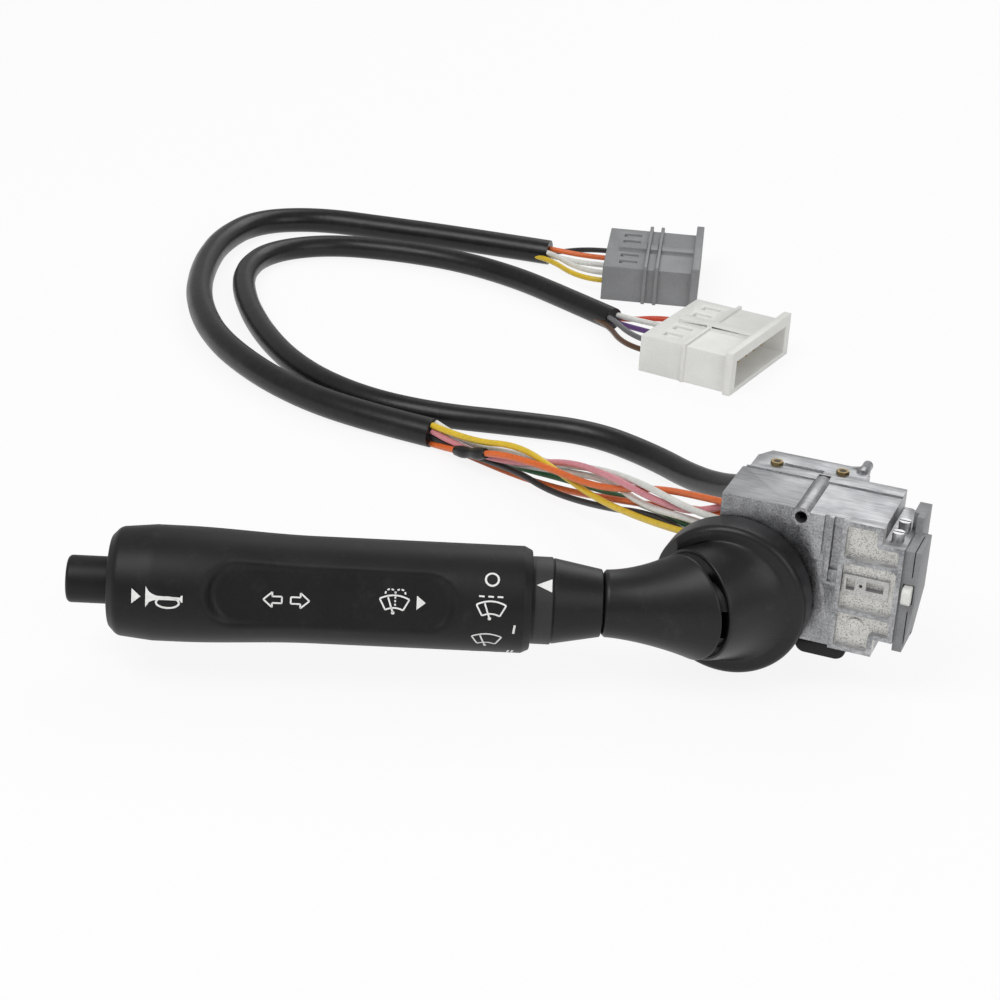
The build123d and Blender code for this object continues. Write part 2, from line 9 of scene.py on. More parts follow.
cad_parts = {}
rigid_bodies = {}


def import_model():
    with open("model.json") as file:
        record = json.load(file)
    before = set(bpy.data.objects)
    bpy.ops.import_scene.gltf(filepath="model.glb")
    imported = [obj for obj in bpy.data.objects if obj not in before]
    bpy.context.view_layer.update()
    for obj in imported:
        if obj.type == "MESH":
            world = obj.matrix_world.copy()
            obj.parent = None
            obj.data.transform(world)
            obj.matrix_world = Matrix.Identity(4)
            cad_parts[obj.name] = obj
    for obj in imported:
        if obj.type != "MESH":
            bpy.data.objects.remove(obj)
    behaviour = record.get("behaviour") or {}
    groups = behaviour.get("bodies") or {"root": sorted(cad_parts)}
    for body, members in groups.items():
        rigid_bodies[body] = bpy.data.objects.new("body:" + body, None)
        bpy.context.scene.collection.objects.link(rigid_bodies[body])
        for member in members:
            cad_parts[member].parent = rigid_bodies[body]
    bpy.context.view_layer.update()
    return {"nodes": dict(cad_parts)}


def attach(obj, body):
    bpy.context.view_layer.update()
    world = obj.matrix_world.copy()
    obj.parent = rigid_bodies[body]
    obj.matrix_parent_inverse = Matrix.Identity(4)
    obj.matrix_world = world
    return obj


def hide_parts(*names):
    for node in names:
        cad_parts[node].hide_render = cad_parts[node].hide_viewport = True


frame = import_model()
nodes = frame["nodes"]
print("stage: frame loaded,", len(nodes), "nodes")

mm = 0.001

# the switch's own centre, the lever pivot and the stalk's directions, as in the solids
centre = np.array([-0.0165, 0.0, -0.0264])
pivot = centre + np.array([0.0, -0.014, 0.0])
yaw = math.radians(22.0)
outDir = np.array([-math.cos(yaw), -math.sin(yaw), 0.0])
upDir = np.array([0.0, 0.0, 1.0])
backDir = np.array([-math.sin(yaw), math.cos(yaw), 0.0])
mitre = outDir + np.array([0.0, -1.0, 0.0])
mitre = mitre / np.linalg.norm(mitre)
floorDrop = 0.025
floorZ = centre[2] - floorDrop


def newObject(name, data):
    obj = bpy.data.objects.new(name, data)
    bpy.context.scene.collection.objects.link(obj)
    return obj


# the camera looks so that the switch's centre falls on anchorPx
cameraSet = dict(elevation=25.0, azimuth=20.0, roll=3.6, focalPx=2400.0, distance=0.672,
                 anchorPx=(735.0, 588.0), framePx=1000.0, sensor=36.0, clipStart=0.01)


def makeCamera():
    c = cameraSet
    e, a, r = (math.radians(c[k]) for k in ("elevation", "azimuth", "roll"))
    back = Vector((math.sin(a) * math.cos(e), -math.cos(a) * math.cos(e), math.sin(e)))
    level = Vector((math.cos(a), math.sin(a), 0.0))
    rise = back.cross(level)
    right = level * math.cos(r) + rise * math.sin(r)
    up = rise * math.cos(r) - level * math.sin(r)
    f, d, half = c["focalPx"], c["distance"], c["framePx"] / 2
    px, py = c["anchorPx"]
    place = Vector(centre) - (right * ((px - half) / f * d) - up * ((py - half) / f * d) - back * d)
    cam = newObject("camera", bpy.data.cameras.new("camera"))
    m = Matrix((right, up, back)).transposed().to_4x4()
    m.translation = place
    cam.matrix_world = m
    cam.data.lens = c["sensor"] * f / c["framePx"]
    cam.data.sensor_width = c["sensor"]
    cam.data.clip_start = c["clipStart"]
    bpy.context.scene.camera = cam


makeCamera()
print("stage: camera placed")


def newGroup(name, inputs, outputs):
    g = bpy.data.node_groups.new(name, "ShaderNodeTree")
    for label, kind, value in inputs:
        s = g.interface.new_socket(label, in_out="INPUT", socket_type="NodeSocket" + kind)
        s.default_value = value
    for label, kind in outputs:
        g.interface.new_socket(label, in_out="OUTPUT", socket_type="NodeSocket" + kind)
    return g, g.nodes.new("NodeGroupInput"), g.nodes.new("NodeGroupOutput")


# values gives input sockets their numbers, links joins input sockets to output sockets
def addNode(tree, kind, values=None, **links):
    n = tree.nodes.new(kind)
    for k, v in (values or {}).items():
        n.inputs[k].default_value = v
    for k, v in links.items():
        tree.links.new(v, n.inputs[k])
    return n


def mathNode(tree, op, a, b=None, clamp=False):
    n = tree.nodes.new("ShaderNodeMath")
    n.operation, n.use_clamp = op, clamp
    for i, v in enumerate((a, b)):
        if v is None:
            continue
        if isinstance(v, (int, float)):
            n.inputs[i].default_value = v
        else:
            tree.links.new(v, n.inputs[i])
    return n.outputs[0]


# 0 at low, 1 at high, held past both
def rangeNode(tree, value, low, high):
    return addNode(tree, "ShaderNodeMapRange", {"From Min": low, "From Max": high}, Value=value).outputs[0]


def noiseNode(tree, vector, scale, detail):
    n = addNode(tree, "ShaderNodeTexNoise", {"Scale": scale, "Detail": detail}, Vector=vector)
    return n.outputs["Fac"]


def mixColor(tree, fac, a, b):
    n = tree.nodes.new("ShaderNodeMix")
    n.data_type = "RGBA"
    for sock, v in ((n.inputs[0], fac), (n.inputs[6], a), (n.inputs[7], b)):
        if isinstance(v, tuple):
            sock.default_value = v
        else:
            tree.links.new(v, sock)
    return n.outputs[2]


grainSet = dict(fineDetail=3.0, fineRough=0.6, fineShare=0.55, broadDetail=4.0, broadRough=0.62,
                broadShare=0.45, low=0.36, high=0.64)


# two sizes of noise: a fine pitted grain for height and a broad cloud for colour and gloss
def makeGrainGroup():
    p = grainSet
    g, gi, go = newGroup("surfaceGrain", [
        ("Vector", "Vector", (0, 0, 0)), ("Fine", "Float", 2500.0), ("Broad", "Float", 90.0),
        ("Dark", "Color", (0, 0, 0, 1)), ("Light", "Color", (1, 1, 1, 1)), ("Rough", "Float", 0.5),
        ("Rough Spread", "Float", 0.1)],
        [("Color", "Color"), ("Roughness", "Float"), ("Height", "Float")])
    at = gi.outputs
    fine = addNode(g, "ShaderNodeTexNoise", {"Detail": p["fineDetail"], "Roughness": p["fineRough"]},
                   Vector=at["Vector"], Scale=at["Fine"]).outputs["Fac"]
    broad = addNode(g, "ShaderNodeTexNoise", {"Detail": p["broadDetail"], "Roughness": p["broadRough"]},
                    Vector=at["Vector"], Scale=at["Broad"]).outputs["Fac"]
    share = mathNode(g, "ADD", mathNode(g, "MULTIPLY", fine, p["fineShare"]),
                     mathNode(g, "MULTIPLY", broad, p["broadShare"]))
    fac = rangeNode(g, share, p["low"], p["high"])
    g.links.new(mixColor(g, fac, at["Dark"], at["Light"]), go.inputs["Color"])
    spread = mathNode(g, "MULTIPLY", mathNode(g, "SUBTRACT", broad, 0.5), at["Rough Spread"])
    rough = mathNode(g, "ADD", at["Rough"], mathNode(g, "MULTIPLY", spread, 2.0))
    g.links.new(rough, go.inputs["Roughness"])
    g.links.new(fine, go.inputs["Height"])
    return g


dustSet = dict(detail=6.0, rough=0.75, low=0.55, high=0.85, color=(0.35, 0.34, 0.32, 1))


# pale specks and faint smears that settle on handled black plastic
def makeDustGroup():
    p = dustSet
    g, gi, go = newGroup("handledDust", [
        ("Vector", "Vector", (0, 0, 0)), ("Scale", "Float", 160.0), ("Amount", "Float", 0.5),
        ("Color", "Color", (0, 0, 0, 1)), ("Dust", "Color", p["color"])], [("Color", "Color")])
    at = gi.outputs
    cloud = addNode(g, "ShaderNodeTexNoise", {"Detail": p["detail"], "Roughness": p["rough"]},
                    Vector=at["Vector"], Scale=at["Scale"]).outputs["Fac"]
    mask = mathNode(g, "MULTIPLY", rangeNode(g, cloud, p["low"], p["high"]), at["Amount"], clamp=True)
    g.links.new(mixColor(g, mask, at["Color"], at["Dust"]), go.inputs["Color"])
    return g


grainGroup = makeGrainGroup()
dustGroup = makeDustGroup()


def newMaterial(name, metallic=0.0, specular=0.5):
    m = bpy.data.materials.new(name)
    m.use_nodes = True
    t = m.node_tree
    bsdf = t.nodes["Principled BSDF"]
    bsdf.inputs["Metallic"].default_value = metallic
    bsdf.inputs["IOR"].default_value = 1.46
    bsdf.inputs["Specular IOR Level"].default_value = specular
    coord = t.nodes.new("ShaderNodeTexCoord").outputs["Object"]
    return m, t, bsdf, coord


def groupNode(tree, group, coord, values):
    g = tree.nodes.new("ShaderNodeGroup")
    g.node_tree = group
    tree.links.new(coord, g.inputs["Vector"])
    for k, v in values.items():
        g.inputs[k].default_value = v
    return g


def bumpNode(tree, height, strength, distance, bsdf):
    b = addNode(tree, "ShaderNodeBump", {"Strength": strength, "Distance": distance}, Height=height)
    tree.links.new(b.outputs[0], bsdf.inputs["Normal"])


# the seam groove's half width, core, dent depth and the near-black of its painted shade
seamShadeSet = dict(half=0.00022, core=0.4, sink=2.0, color=(0.004, 0.004, 0.004, 1))


# a moulded or cast finish: grain, broad clouding, optional dust, and at the height seam a dented groove
# darkened with painted shade
def grained(name, dark, light, rough=0.5, spread=0.1, fine=2500.0, broad=90.0, bump=0.2, depth=0.0001,
            dust=0.0, seam=None, **kind):
    m, t, bsdf, coord = newMaterial(name, **kind)
    g = groupNode(t, grainGroup, coord, {"Fine": fine, "Broad": broad, "Rough": rough, "Rough Spread": spread,
                                         "Dark": (*dark, 1), "Light": (*light, 1)})
    color, height = g.outputs["Color"], g.outputs["Height"]
    if dust:
        d = groupNode(t, dustGroup, coord, {"Amount": dust})
        t.links.new(color, d.inputs["Color"])
        color = d.outputs["Color"]
    if seam is not None:
        p = seamShadeSet
        xyz = addNode(t, "ShaderNodeSeparateXYZ", Vector=coord)
        gap = mathNode(t, "ABSOLUTE", mathNode(t, "SUBTRACT", xyz.outputs[2], seam))
        line = rangeNode(t, gap, p["half"], p["half"] * p["core"])
        # painted shade: the seam groove's colour is taken down to near-black as if shadowed
        color = mixColor(t, line, color, p["color"])
        height = mathNode(t, "SUBTRACT", height, mathNode(t, "MULTIPLY", line, p["sink"]))
    t.links.new(color, bsdf.inputs["Base Color"])
    t.links.new(g.outputs["Roughness"], bsdf.inputs["Roughness"])
    bumpNode(t, height, bump, depth, bsdf)
    return m


zincSet = dict(dark=(0.20, 0.205, 0.215, 1), light=(0.56, 0.565, 0.575, 1), fine=1700.0, broad=260.0,
               rough=0.42, spread=0.14, bump=0.6, depth=0.00022,
               cellX=(0.0128, 0.0134), cellY=(-0.0012, 0.0002), frontY=(0.0026, 0.0016), cellRough=0.15,
               speckScale=2600.0, speckDetail=3.0, speck=(0.36, 0.5), paleShare=0.85,
               paleLow=(0.42, 0.41, 0.39, 1), paleHigh=(0.86, 0.85, 0.81, 1),
               top=(0.75, 0.97), scoreScale=(150.0, 2600.0, 300.0), scoreDetail=3.0, scoreDepth=0.25,
               cloudScale=75.0, cloudDetail=2.0, shade=(0.38, 0.62),
               topLow=(0.25, 0.255, 0.265, 1), topHigh=(0.46, 0.465, 0.475, 1))


# as-cast zinc: dull grainy upright faces, pale speckled cell floors, a scored and smoother top
def castZinc():
    p = zincSet
    m, t, bsdf, coord = newMaterial("castZinc", metallic=1.0)
    g = groupNode(t, grainGroup, coord, {"Fine": p["fine"], "Broad": p["broad"], "Rough": p["rough"],
                                         "Rough Spread": p["spread"], "Dark": p["dark"], "Light": p["light"]})
    x, y = addNode(t, "ShaderNodeSeparateXYZ", Vector=coord).outputs[:2]
    right, sunk, front = (rangeNode(t, v, *p[k]) for v, k in ((x, "cellX"), (y, "cellY"), (y, "frontY")))
    cell = mathNode(t, "MULTIPLY", mathNode(t, "MULTIPLY", right, sunk), front)
    speckle = rangeNode(t, noiseNode(t, coord, p["speckScale"], p["speckDetail"]), *p["speck"])
    pale = mixColor(t, speckle, p["paleLow"], p["paleHigh"])
    upright = mixColor(t, mathNode(t, "MULTIPLY", cell, p["paleShare"]), g.outputs["Color"], pale)
    normal = t.nodes.new("ShaderNodeNewGeometry").outputs["Normal"]
    top = rangeNode(t, addNode(t, "ShaderNodeSeparateXYZ", Vector=normal).outputs[2], *p["top"])
    stretch = addNode(t, "ShaderNodeMapping", {"Scale": p["scoreScale"]}, Vector=coord).outputs[0]
    score = noiseNode(t, stretch, 1.0, p["scoreDetail"])
    cloud = noiseNode(t, coord, p["cloudScale"], p["cloudDetail"])
    shade = rangeNode(t, mathNode(t, "MULTIPLY", mathNode(t, "ADD", score, cloud), 0.5), *p["shade"])
    smooth = mixColor(t, shade, p["topLow"], p["topHigh"])
    t.links.new(mixColor(t, top, upright, smooth), bsdf.inputs["Base Color"])
    rough = mathNode(t, "ADD", g.outputs["Roughness"], mathNode(t, "MULTIPLY", cell, p["cellRough"]))
    t.links.new(rough, bsdf.inputs["Roughness"])
    grain = mathNode(t, "MULTIPLY", g.outputs["Height"], mathNode(t, "SUBTRACT", 1.0, top))
    scored = mathNode(t, "MULTIPLY", mathNode(t, "MULTIPLY", score, top), p["scoreDepth"])
    bumpNode(t, mathNode(t, "ADD", grain, scored), p["bump"], p["depth"], bsdf)
    return m


def meshPoints(mesh):
    co = np.empty(len(mesh.vertices) * 3)
    mesh.vertices.foreach_get("co", co)
    return co.reshape(-1, 3)


# the middle of each rivet head, one on each side of the node's middle in x
def rivetPlaces():
    co = meshPoints(nodes["top_rivets"].data)
    mid = (co[:, 0].min() + co[:, 0].max()) / 2
    return [tuple((p.min(0) + p.max(0))[:2] / 2) for p in (co[co[:, 0] < mid], co[co[:, 0] > mid])]


# how far out from each eyelet's middle the painted shade reaches, and its near-black colour
rivetHollowShade = dict(hollow=0.0009, edge=0.0012, color=(0.03, 0.02, 0.01, 1))


# aged brass heads, with painted shade darkening the hollow at the middle of each
def rivetBrass():
    m = grained("rivetBrass", (0.16, 0.11, 0.045), (0.34, 0.25, 0.11), rough=0.36, metallic=1.0, bump=0.2)
    t = m.node_tree
    baseColor = t.nodes["Principled BSDF"].inputs["Base Color"]
    brass = baseColor.links[0].from_socket
    place = addNode(t, "ShaderNodeSeparateXYZ", Vector=t.nodes.new("ShaderNodeTexCoord").outputs["Object"])
    near = None
    for middle in rivetPlaces():
        dx, dy = (mathNode(t, "SUBTRACT", place.outputs[i], middle[i]) for i in (0, 1))
        square = mathNode(t, "ADD", mathNode(t, "MULTIPLY", dx, dx), mathNode(t, "MULTIPLY", dy, dy))
        far = mathNode(t, "SQRT", square)
        near = far if near is None else mathNode(t, "MINIMUM", near, far)
    # painted shade: near-black in each eyelet's hollow, easing out to the brass at the edge
    dark = rangeNode(t, near, rivetHollowShade["edge"], rivetHollowShade["hollow"])
    t.links.new(mixColor(t, dark, brass, rivetHollowShade["color"]), baseColor)
    return m


# heights of the parting lines of the two elbow pieces
bellSeam, neckSeam = centre[2] - 0.0075, centre[2] - 0.005
blackDark, blackLight = (0.005, 0.005, 0.0055), (0.011, 0.011, 0.012)
finish = {
    "handle": grained("handlePlastic", blackDark, (0.010, 0.010, 0.011), rough=0.46, spread=0.07, fine=2600,
                      broad=60, bump=0.10, depth=0.00006, dust=0.04, specular=0.32),
    "shroud": grained("shroudPlastic", blackDark, blackLight, rough=0.42, spread=0.08, fine=2400, broad=70,
                      bump=0.12, depth=0.00006, dust=0.05, specular=0.36),
    "bell": grained("bellPlastic", blackDark, blackLight, rough=0.38, spread=0.08, fine=2400, broad=70,
                    bump=0.12, depth=0.00006, dust=0.06, specular=0.42, seam=bellSeam),
    "neck": grained("neckPlastic", blackDark, blackLight, rough=0.40, spread=0.08, bump=0.12, depth=0.00006,
                    dust=0.06, specular=0.40, seam=neckSeam),
    "collarBand": grained("collarSatin", (0.016, 0.016, 0.017), (0.026, 0.026, 0.028), bump=0.1,
                          depth=0.00005),
    "blackPlastic": grained("innerPlastic", (0.006, 0.006, 0.0065), (0.012, 0.012, 0.013), bump=0.12,
                            dust=0.05, specular=0.35),
    "zinc": castZinc(),
    "greyPlastic": grained("greyPlastic", (0.17, 0.175, 0.18), (0.27, 0.275, 0.28), rough=0.48, bump=0.12,
                           dust=0.15),
    "plugGrey": grained("plugGrey", (0.20, 0.205, 0.21), (0.27, 0.275, 0.28), rough=0.45, bump=0.10,
                        dust=0.10),
    "plugWhite": grained("plugWhite", (0.7, 0.7, 0.67), (0.8, 0.8, 0.77), rough=0.42, bump=0.08, spread=0.05),
    "brass": grained("brassParts", (0.42, 0.29, 0.1), (0.66, 0.48, 0.2), rough=0.32, metallic=1.0, bump=0.15),
    "rivet": rivetBrass(),
    "steel": grained("platedSteel", (0.42, 0.42, 0.43), (0.62, 0.62, 0.63), rough=0.3, metallic=1.0,
                     bump=0.12),
    "sleeve": grained("sleevePvc", blackDark, blackLight, rough=0.33, spread=0.12, fine=420, broad=60,
                      bump=0.22, depth=0.0003, dust=0.05, specular=0.42),
    "mark": grained("whiteMark", (0.74, 0.74, 0.72), (0.86, 0.86, 0.84), bump=0.05, fine=900),
}

jacketColor = dict(Orange=(0.80, 0.16, 0.03), White=(0.78, 0.78, 0.74), Yellow=(0.80, 0.55, 0.03),
                   Pink=(0.72, 0.28, 0.32), Black=(0.02, 0.02, 0.02), Green=(0.03, 0.16, 0.06),
                   Brown=(0.10, 0.045, 0.02), Grey=(0.17, 0.17, 0.18), Violet=(0.12, 0.05, 0.20),
                   Red=(0.62, 0.06, 0.02))
jacketShade = 0.8


def jacket(name, color):
    dark = tuple(c * jacketShade for c in color)
    return grained("jacket" + name, dark, color, rough=0.34, spread=0.06, fine=900, broad=140, bump=0.06)


jackets = {k: jacket(k, v) for k, v in jacketColor.items()}

# nodes that show as they are; the others are black, or a skin, a soft copy or a spline stands for them
nodeFinish = dict(
    contact_blades="brass", top_rivets="rivet", cover_screws="steel", pivot_bush="brass",
    lead_grommet="sleeve", turn_shaft="shroud", retaining_clip="steel", detent_plunger="steel",
    lever_rod="steel", pivot_pin="steel", wash_sleeve="greyPlastic", wiper_drum="plugWhite",
    white_plug_lock="plugWhite", white_plug_pins="brass", grey_plug_lock="plugGrey", grey_plug_pins="brass")


def paintNodes():
    for name, obj in nodes.items():
        mat = finish[nodeFinish.get(name, "blackPlastic")]
        if not obj.material_slots:
            obj.data.materials.append(mat)
        for s in obj.material_slots:
            s.material = mat


paintNodes()
print("stage: materials made")


# quads join the rows of a grid, wrapping round its columns; closeV joins the last row to the first
def gridPiece(name, points, body, mat, closeV=False):
    rows, cols = points.shape[:2]
    a, b = np.meshgrid(np.arange(rows if closeV else rows - 1), np.arange(cols), indexing="ij")
    a2, b2 = (a + 1) % rows, (b + 1) % cols
    quads = np.stack([a * cols + b, a * cols + b2, a2 * cols + b2, a2 * cols + b], axis=-1).reshape(-1, 4)
    return meshPiece(name, points.reshape(-1, 3), quads, body, mat)


def meshPiece(name, verts, quads, body, mat):
    mesh = bpy.data.meshes.new(name)
    mesh.vertices.add(len(verts))
    mesh.vertices.foreach_set("co", np.asarray(verts, dtype=np.float32).ravel())
    count = len(quads)
    mesh.loops.add(count * 4)
    mesh.loops.foreach_set("vertex_index", np.asarray(quads, dtype=np.int32).ravel())
    mesh.polygons.add(count)
    mesh.polygons.foreach_set("loop_start", np.arange(0, count * 4, 4, dtype=np.int32))
    mesh.polygons.foreach_set("use_smooth", np.full(count, True))
    mesh.update(calc_edges=True)
    mesh.validate()
    obj = newObject(name, mesh)
    mesh.materials.append(mat)
    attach(obj, body)
    return obj


arcSet = dict(points=9, straight=0.02, share=0.49, same=1e-7)


# the length of each piece of a polyline
def pieceLengths(points):
    return np.linalg.norm(np.diff(points, axis=0), axis=1)


# a polyline whose inner corners become arcs of the given radii, cut into pieces of at most about two steps
def roundedPath(corners, radii, step):
    pts, s = np.asarray(corners, float), np.linspace(0, 1, arcSet["points"])[:, None]
    out = [pts[0]]
    for a, b, c, r in zip(pts[:-2], pts[1:-1], pts[2:], radii):
        before, after = np.linalg.norm(a - b), np.linalg.norm(c - b)
        u, v = (a - b) / before, (c - b) / after
        half = 0.5 * math.acos(np.clip(np.dot(u, v), -1, 1))
        if r <= 0 or half > math.pi / 2 - arcSet["straight"]:
            out.append(b)
            continue
        cut = min(r / math.tan(half), arcSet["share"] * before, arcSet["share"] * after)
        p, q = b + u * cut, b + v * cut
        w = 2 * math.sin(half) * s * (1 - s)        # the corner's weight in the rational arc
        out.extend(((1 - s) ** 2 * p + w * b + s ** 2 * q) / ((1 - s) ** 2 + w + s ** 2))
    out.append(pts[-1])
    line = np.array(out)
    line = line[np.concatenate([[True], pieceLengths(line) > arcSet["same"]])]
    fine = [line[0]]
    for p, q in zip(line[:-1], line[1:]):
        n = max(1, int(np.linalg.norm(q - p) / step))
        fine.extend(p + (q - p) * k / n for k in range(1, n + 1))
    return np.array(fine)


# t runs out along the stalk from the pivot, up and back are the offsets from its axis
def onStalk(t, up, back):
    return pivot + outDir * np.asarray(t)[..., None] + upDir * np.asarray(up)[..., None] + \
        backDir * np.asarray(back)[..., None]


def smoothStep(x):
    x = np.clip(x, 0, 1)
    return x * x * (3 - 2 * x)


def roundAngles(count):
    return np.linspace(0, 2 * math.pi, count, endpoint=False)


# a closed profile of (station, radius) in mm with eased corners, turned about the stalk's axis
def turnedPiece(name, corners, radii, body, mat, replaces=(), step=0.6, columns=128):
    line = roundedPath(list(corners) + [corners[0]], radii, step)[:-1] * mm
    a = roundAngles(columns)
    t, r = np.repeat(line[:, :1], columns, axis=1), np.repeat(line[:, 1:], columns, axis=1)
    obj = gridPiece(name, onStalk(t, r * np.sin(a), -r * np.cos(a)), body, mat, closeV=True)
    if replaces:
        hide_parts(*replaces)


# millimetres and degrees; stations are measured out from the pivot
handleSet = dict(inner=52.4, outer=167.0, radius=14.7, bulge=15.9, bulgeFrom=112.0, bulgeRun=36.0,
                 endRadius=11.8, endEdge=0.5, endLip=0.6, tipRun=2.4, tipDrop=1.0, rootRun=2.2, rootDrop=1.1,
                 ringFrom=62.0, ringTo=157.0, ringStep=3.0, skirt=12.3, skirtFloor=57.8, bore=6.56,
                 boreEnd=150.0, scoopInner=72.0, scoopOuter=141.0, scoopWidth=20.0, scoopFloor=12.0,
                 scoopEase=3.2, scoopMargin=1.5, tilt=17.0, seamDepth=0.22, seamHalf=0.014, columns=150,
                 step=0.9)
tilt = math.radians(handleSet["tilt"])


# radius in mm at a station: a constant grip that swells smoothly into the outer bulge
def bodyRadius(t):
    h = handleSet
    return h["radius"] + (h["bulge"] - h["radius"]) * smoothStep((t - h["bulgeFrom"]) / h["bulgeRun"])


# presses the symbol face flat: in a stadium-shaped field the face's height is eased down to scoopFloor
def scoop(t, r, a):
    h = handleSet
    u, v = r * np.cos(a - tilt), r * np.sin(a - tilt)
    half, mid = h["scoopWidth"] / 2, (h["scoopInner"] + h["scoopOuter"]) / 2
    reach = (h["scoopOuter"] - h["scoopInner"]) / 2 - half
    d = np.hypot(np.maximum(np.abs(t - mid) - reach, 0), v) - half       # inside the stadium below zero
    w = smoothStep(-d / h["scoopEase"])
    floor = h["scoopFloor"]
    low = np.where(u > floor, floor + (u - floor) * (1 - w), u)
    return np.where(r > floor - h["scoopMargin"], low, u), v


# u stands square to the tilted symbol face, v lies along it
def onFace(t, u, v):
    up, front = u * math.sin(tilt) + v * math.cos(tilt), u * math.cos(tilt) - v * math.sin(tilt)
    return onStalk(t * mm, up * mm, -front * mm)


pressedSet = dict(near=0.01, sharp=50)


# the point of the skin at station t and angle a above the front, raised by lift
def handlePoint(t, a, lift):
    u, v = scoop(t, bodyRadius(t) + lift, a)
    pressed = smoothStep((handleSet["scoopFloor"] + pressedSet["near"] - u + lift) * pressedSet["sharp"])
    return onFace(t, u + lift * pressed, v)


# angles round the handle, closer together at the seams
def seamAngles(seams):
    near = handleSet["seamHalf"] * np.array([-2, -1, -0.4, 0.4, 1, 2])
    extra = (np.array(seams)[:, None] + near).ravel() % (2 * math.pi)
    return np.unique(np.round(np.concatenate([roundAngles(handleSet["columns"]), extra]), 6))


def makeHandle():
    h = handleSet
    outside = [(s, float(bodyRadius(s))) for s in np.arange(h["ringFrom"], h["ringTo"], h["ringStep"])]
    corners = [(h["boreEnd"], h["bore"]), (h["outer"] - 0.01, h["bore"]),
               (h["outer"], h["bore"] + h["endEdge"]), (h["outer"], h["endRadius"] + h["endLip"]),
               (h["outer"] - h["tipRun"], h["bulge"] - h["tipDrop"])] + outside[::-1]
    corners += [(h["inner"] + h["rootRun"], h["radius"]), (h["inner"], h["radius"] - h["rootDrop"]),
                (h["inner"], h["skirt"]), (h["skirtFloor"], h["skirt"]), (h["skirtFloor"], h["bore"]),
                (h["boreEnd"], h["bore"])]
    radii = [0.0, 0.0, 1.4, 3.0] + [0.0] * len(outside) + [0.7, 0.5, 0.25, 0.4, 0.0]
    line = roundedPath(corners, radii, h["step"])[:-1]
    seams = (tilt + math.pi / 2, tilt - math.pi / 2)
    angles = seamAngles(seams)
    t, r = np.repeat(line[:, :1], len(angles), 1), np.repeat(line[:, 1:], len(angles), 1)
    a = np.broadcast_to(angles, t.shape)
    near = np.min([np.abs((a - s + math.pi) % (2 * math.pi) - math.pi) for s in seams], axis=0)
    groove = h["seamDepth"] * smoothStep(1 - near / h["seamHalf"])
    u, v = scoop(t, np.where(r > h["skirt"] + 0.5, r - groove, r), a)
    obj = gridPiece("handleSkin", onFace(t, u, v), "handle", finish["handle"], closeV=True)
    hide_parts("handle_front", "handle_rear")


axisGap = 0.02      # a closed end stops this far from its axis
buttonSet = dict(radius=6.5, inner=149.2, outer=179.0, edge=1.6, dish=0.5, dishEdge=3.0, dishEase=2.0)


def makeButton():
    b = buttonSet
    dished = b["outer"] - b["dish"]
    corners = [(b["inner"], axisGap), (b["inner"], b["radius"]), (b["outer"], b["radius"]),
               (dished, b["radius"] - b["dishEdge"]), (dished, axisGap)]
    turnedPiece("hornButton", corners, [0.0, b["edge"], b["dishEase"], 0.0], "horn", finish["handle"],
                ("horn_button",))


collarSet = dict(inner=33.0, outer=53.0, band=46.5, radius=12.0, neck=9.3, bore=3.52, stepHalf=0.3,
                 stepFrom=0.25, stepSink=0.45, bandOff=0.5, bandWidth=4.6)
bandSet = dict(sink=0.1, rise=0.03, ease=0.02)


def makeCollar():
    c = collarSet
    corners = [(c["inner"], c["bore"]), (c["inner"], c["neck"]),
               (c["band"] - c["stepHalf"], c["radius"] - c["stepFrom"]),
               (c["band"], c["radius"] - c["stepSink"]), (c["band"] + c["stepHalf"], c["radius"]),
               (c["outer"], c["radius"]), (c["outer"], c["bore"])]
    turnedPiece("indexCollar", corners, [0.5, 0.2, 0.1, 0.15, 0.3, 0.0], "lever", finish["shroud"],
                ("index_collar",), step=0.5)
    b = bandSet
    start = c["band"] + c["bandOff"]
    end, low, high = start + c["bandWidth"], c["radius"] - b["sink"], c["radius"] + b["rise"]
    turnedPiece("collarBand", [(start, low), (start, high), (end, high), (end, low)],
                [b["ease"], b["ease"], 0.0], "lever", finish["collarBand"])


# lips and foot give stations as shares of the elbow's length, with the radius taken off or left there
neckSet = dict(end=32.4, radius=9.3, mouthAt=9.5, mouthRadius=15.0, wall=1.6, flare=1.7, bow=0.35,
               edge=0.5, lips=((1.012, 0.2), (1.02, 0.7)), innerFrom=0.985, innerTo=0.2, bore=3.6,
               foot=-0.012, footEdge=1.0, rings=40, innerRings=24, columns=144)


def neckRadius(s):
    n = neckSet
    return n["radius"] + (n["mouthRadius"] - n["radius"]) * s ** n["flare"]


# a ring of the elbow: s runs from 0 at the small end to 1 at the mitred mouth
def neckRing(s, radius, theta):
    n = neckSet
    w = smoothStep(s) * n["bow"] + s * (1 - n["bow"])
    direction = outDir * (1 - w) + mitre * w
    direction = direction / np.linalg.norm(direction)
    at = pivot + outDir * mm * (n["end"] + (n["mouthAt"] - n["end"]) * s)
    side = np.cross(upDir, direction)
    return at + radius * mm * (np.cos(theta)[:, None] * side + np.sin(theta)[:, None] * upDir)


# ring by ring: the outside, the lip at the mouth, the inner wall, the bore and the foot
def makeNeck():
    n = neckSet
    profile = [(s, neckRadius(s)) for s in np.linspace(0, 1, n["rings"])]
    profile[0] = (0.0, n["radius"] - n["edge"])
    profile += [(s, n["mouthRadius"] - less) for s, less in n["lips"]]
    inner = np.linspace(n["innerFrom"], n["innerTo"], n["innerRings"])
    profile += [(s, neckRadius(s) - n["wall"]) for s in inner]
    profile += [(n["innerTo"], n["bore"]), (n["foot"], n["bore"]), (n["foot"], n["radius"] - n["footEdge"])]
    theta = roundAngles(n["columns"])
    rings = np.array([neckRing(s, r, theta) for s, r in profile])
    obj = gridPiece("neckShroud", rings, "lever", finish["neck"], closeV=True)
    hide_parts("neck_upper", "neck_lower")


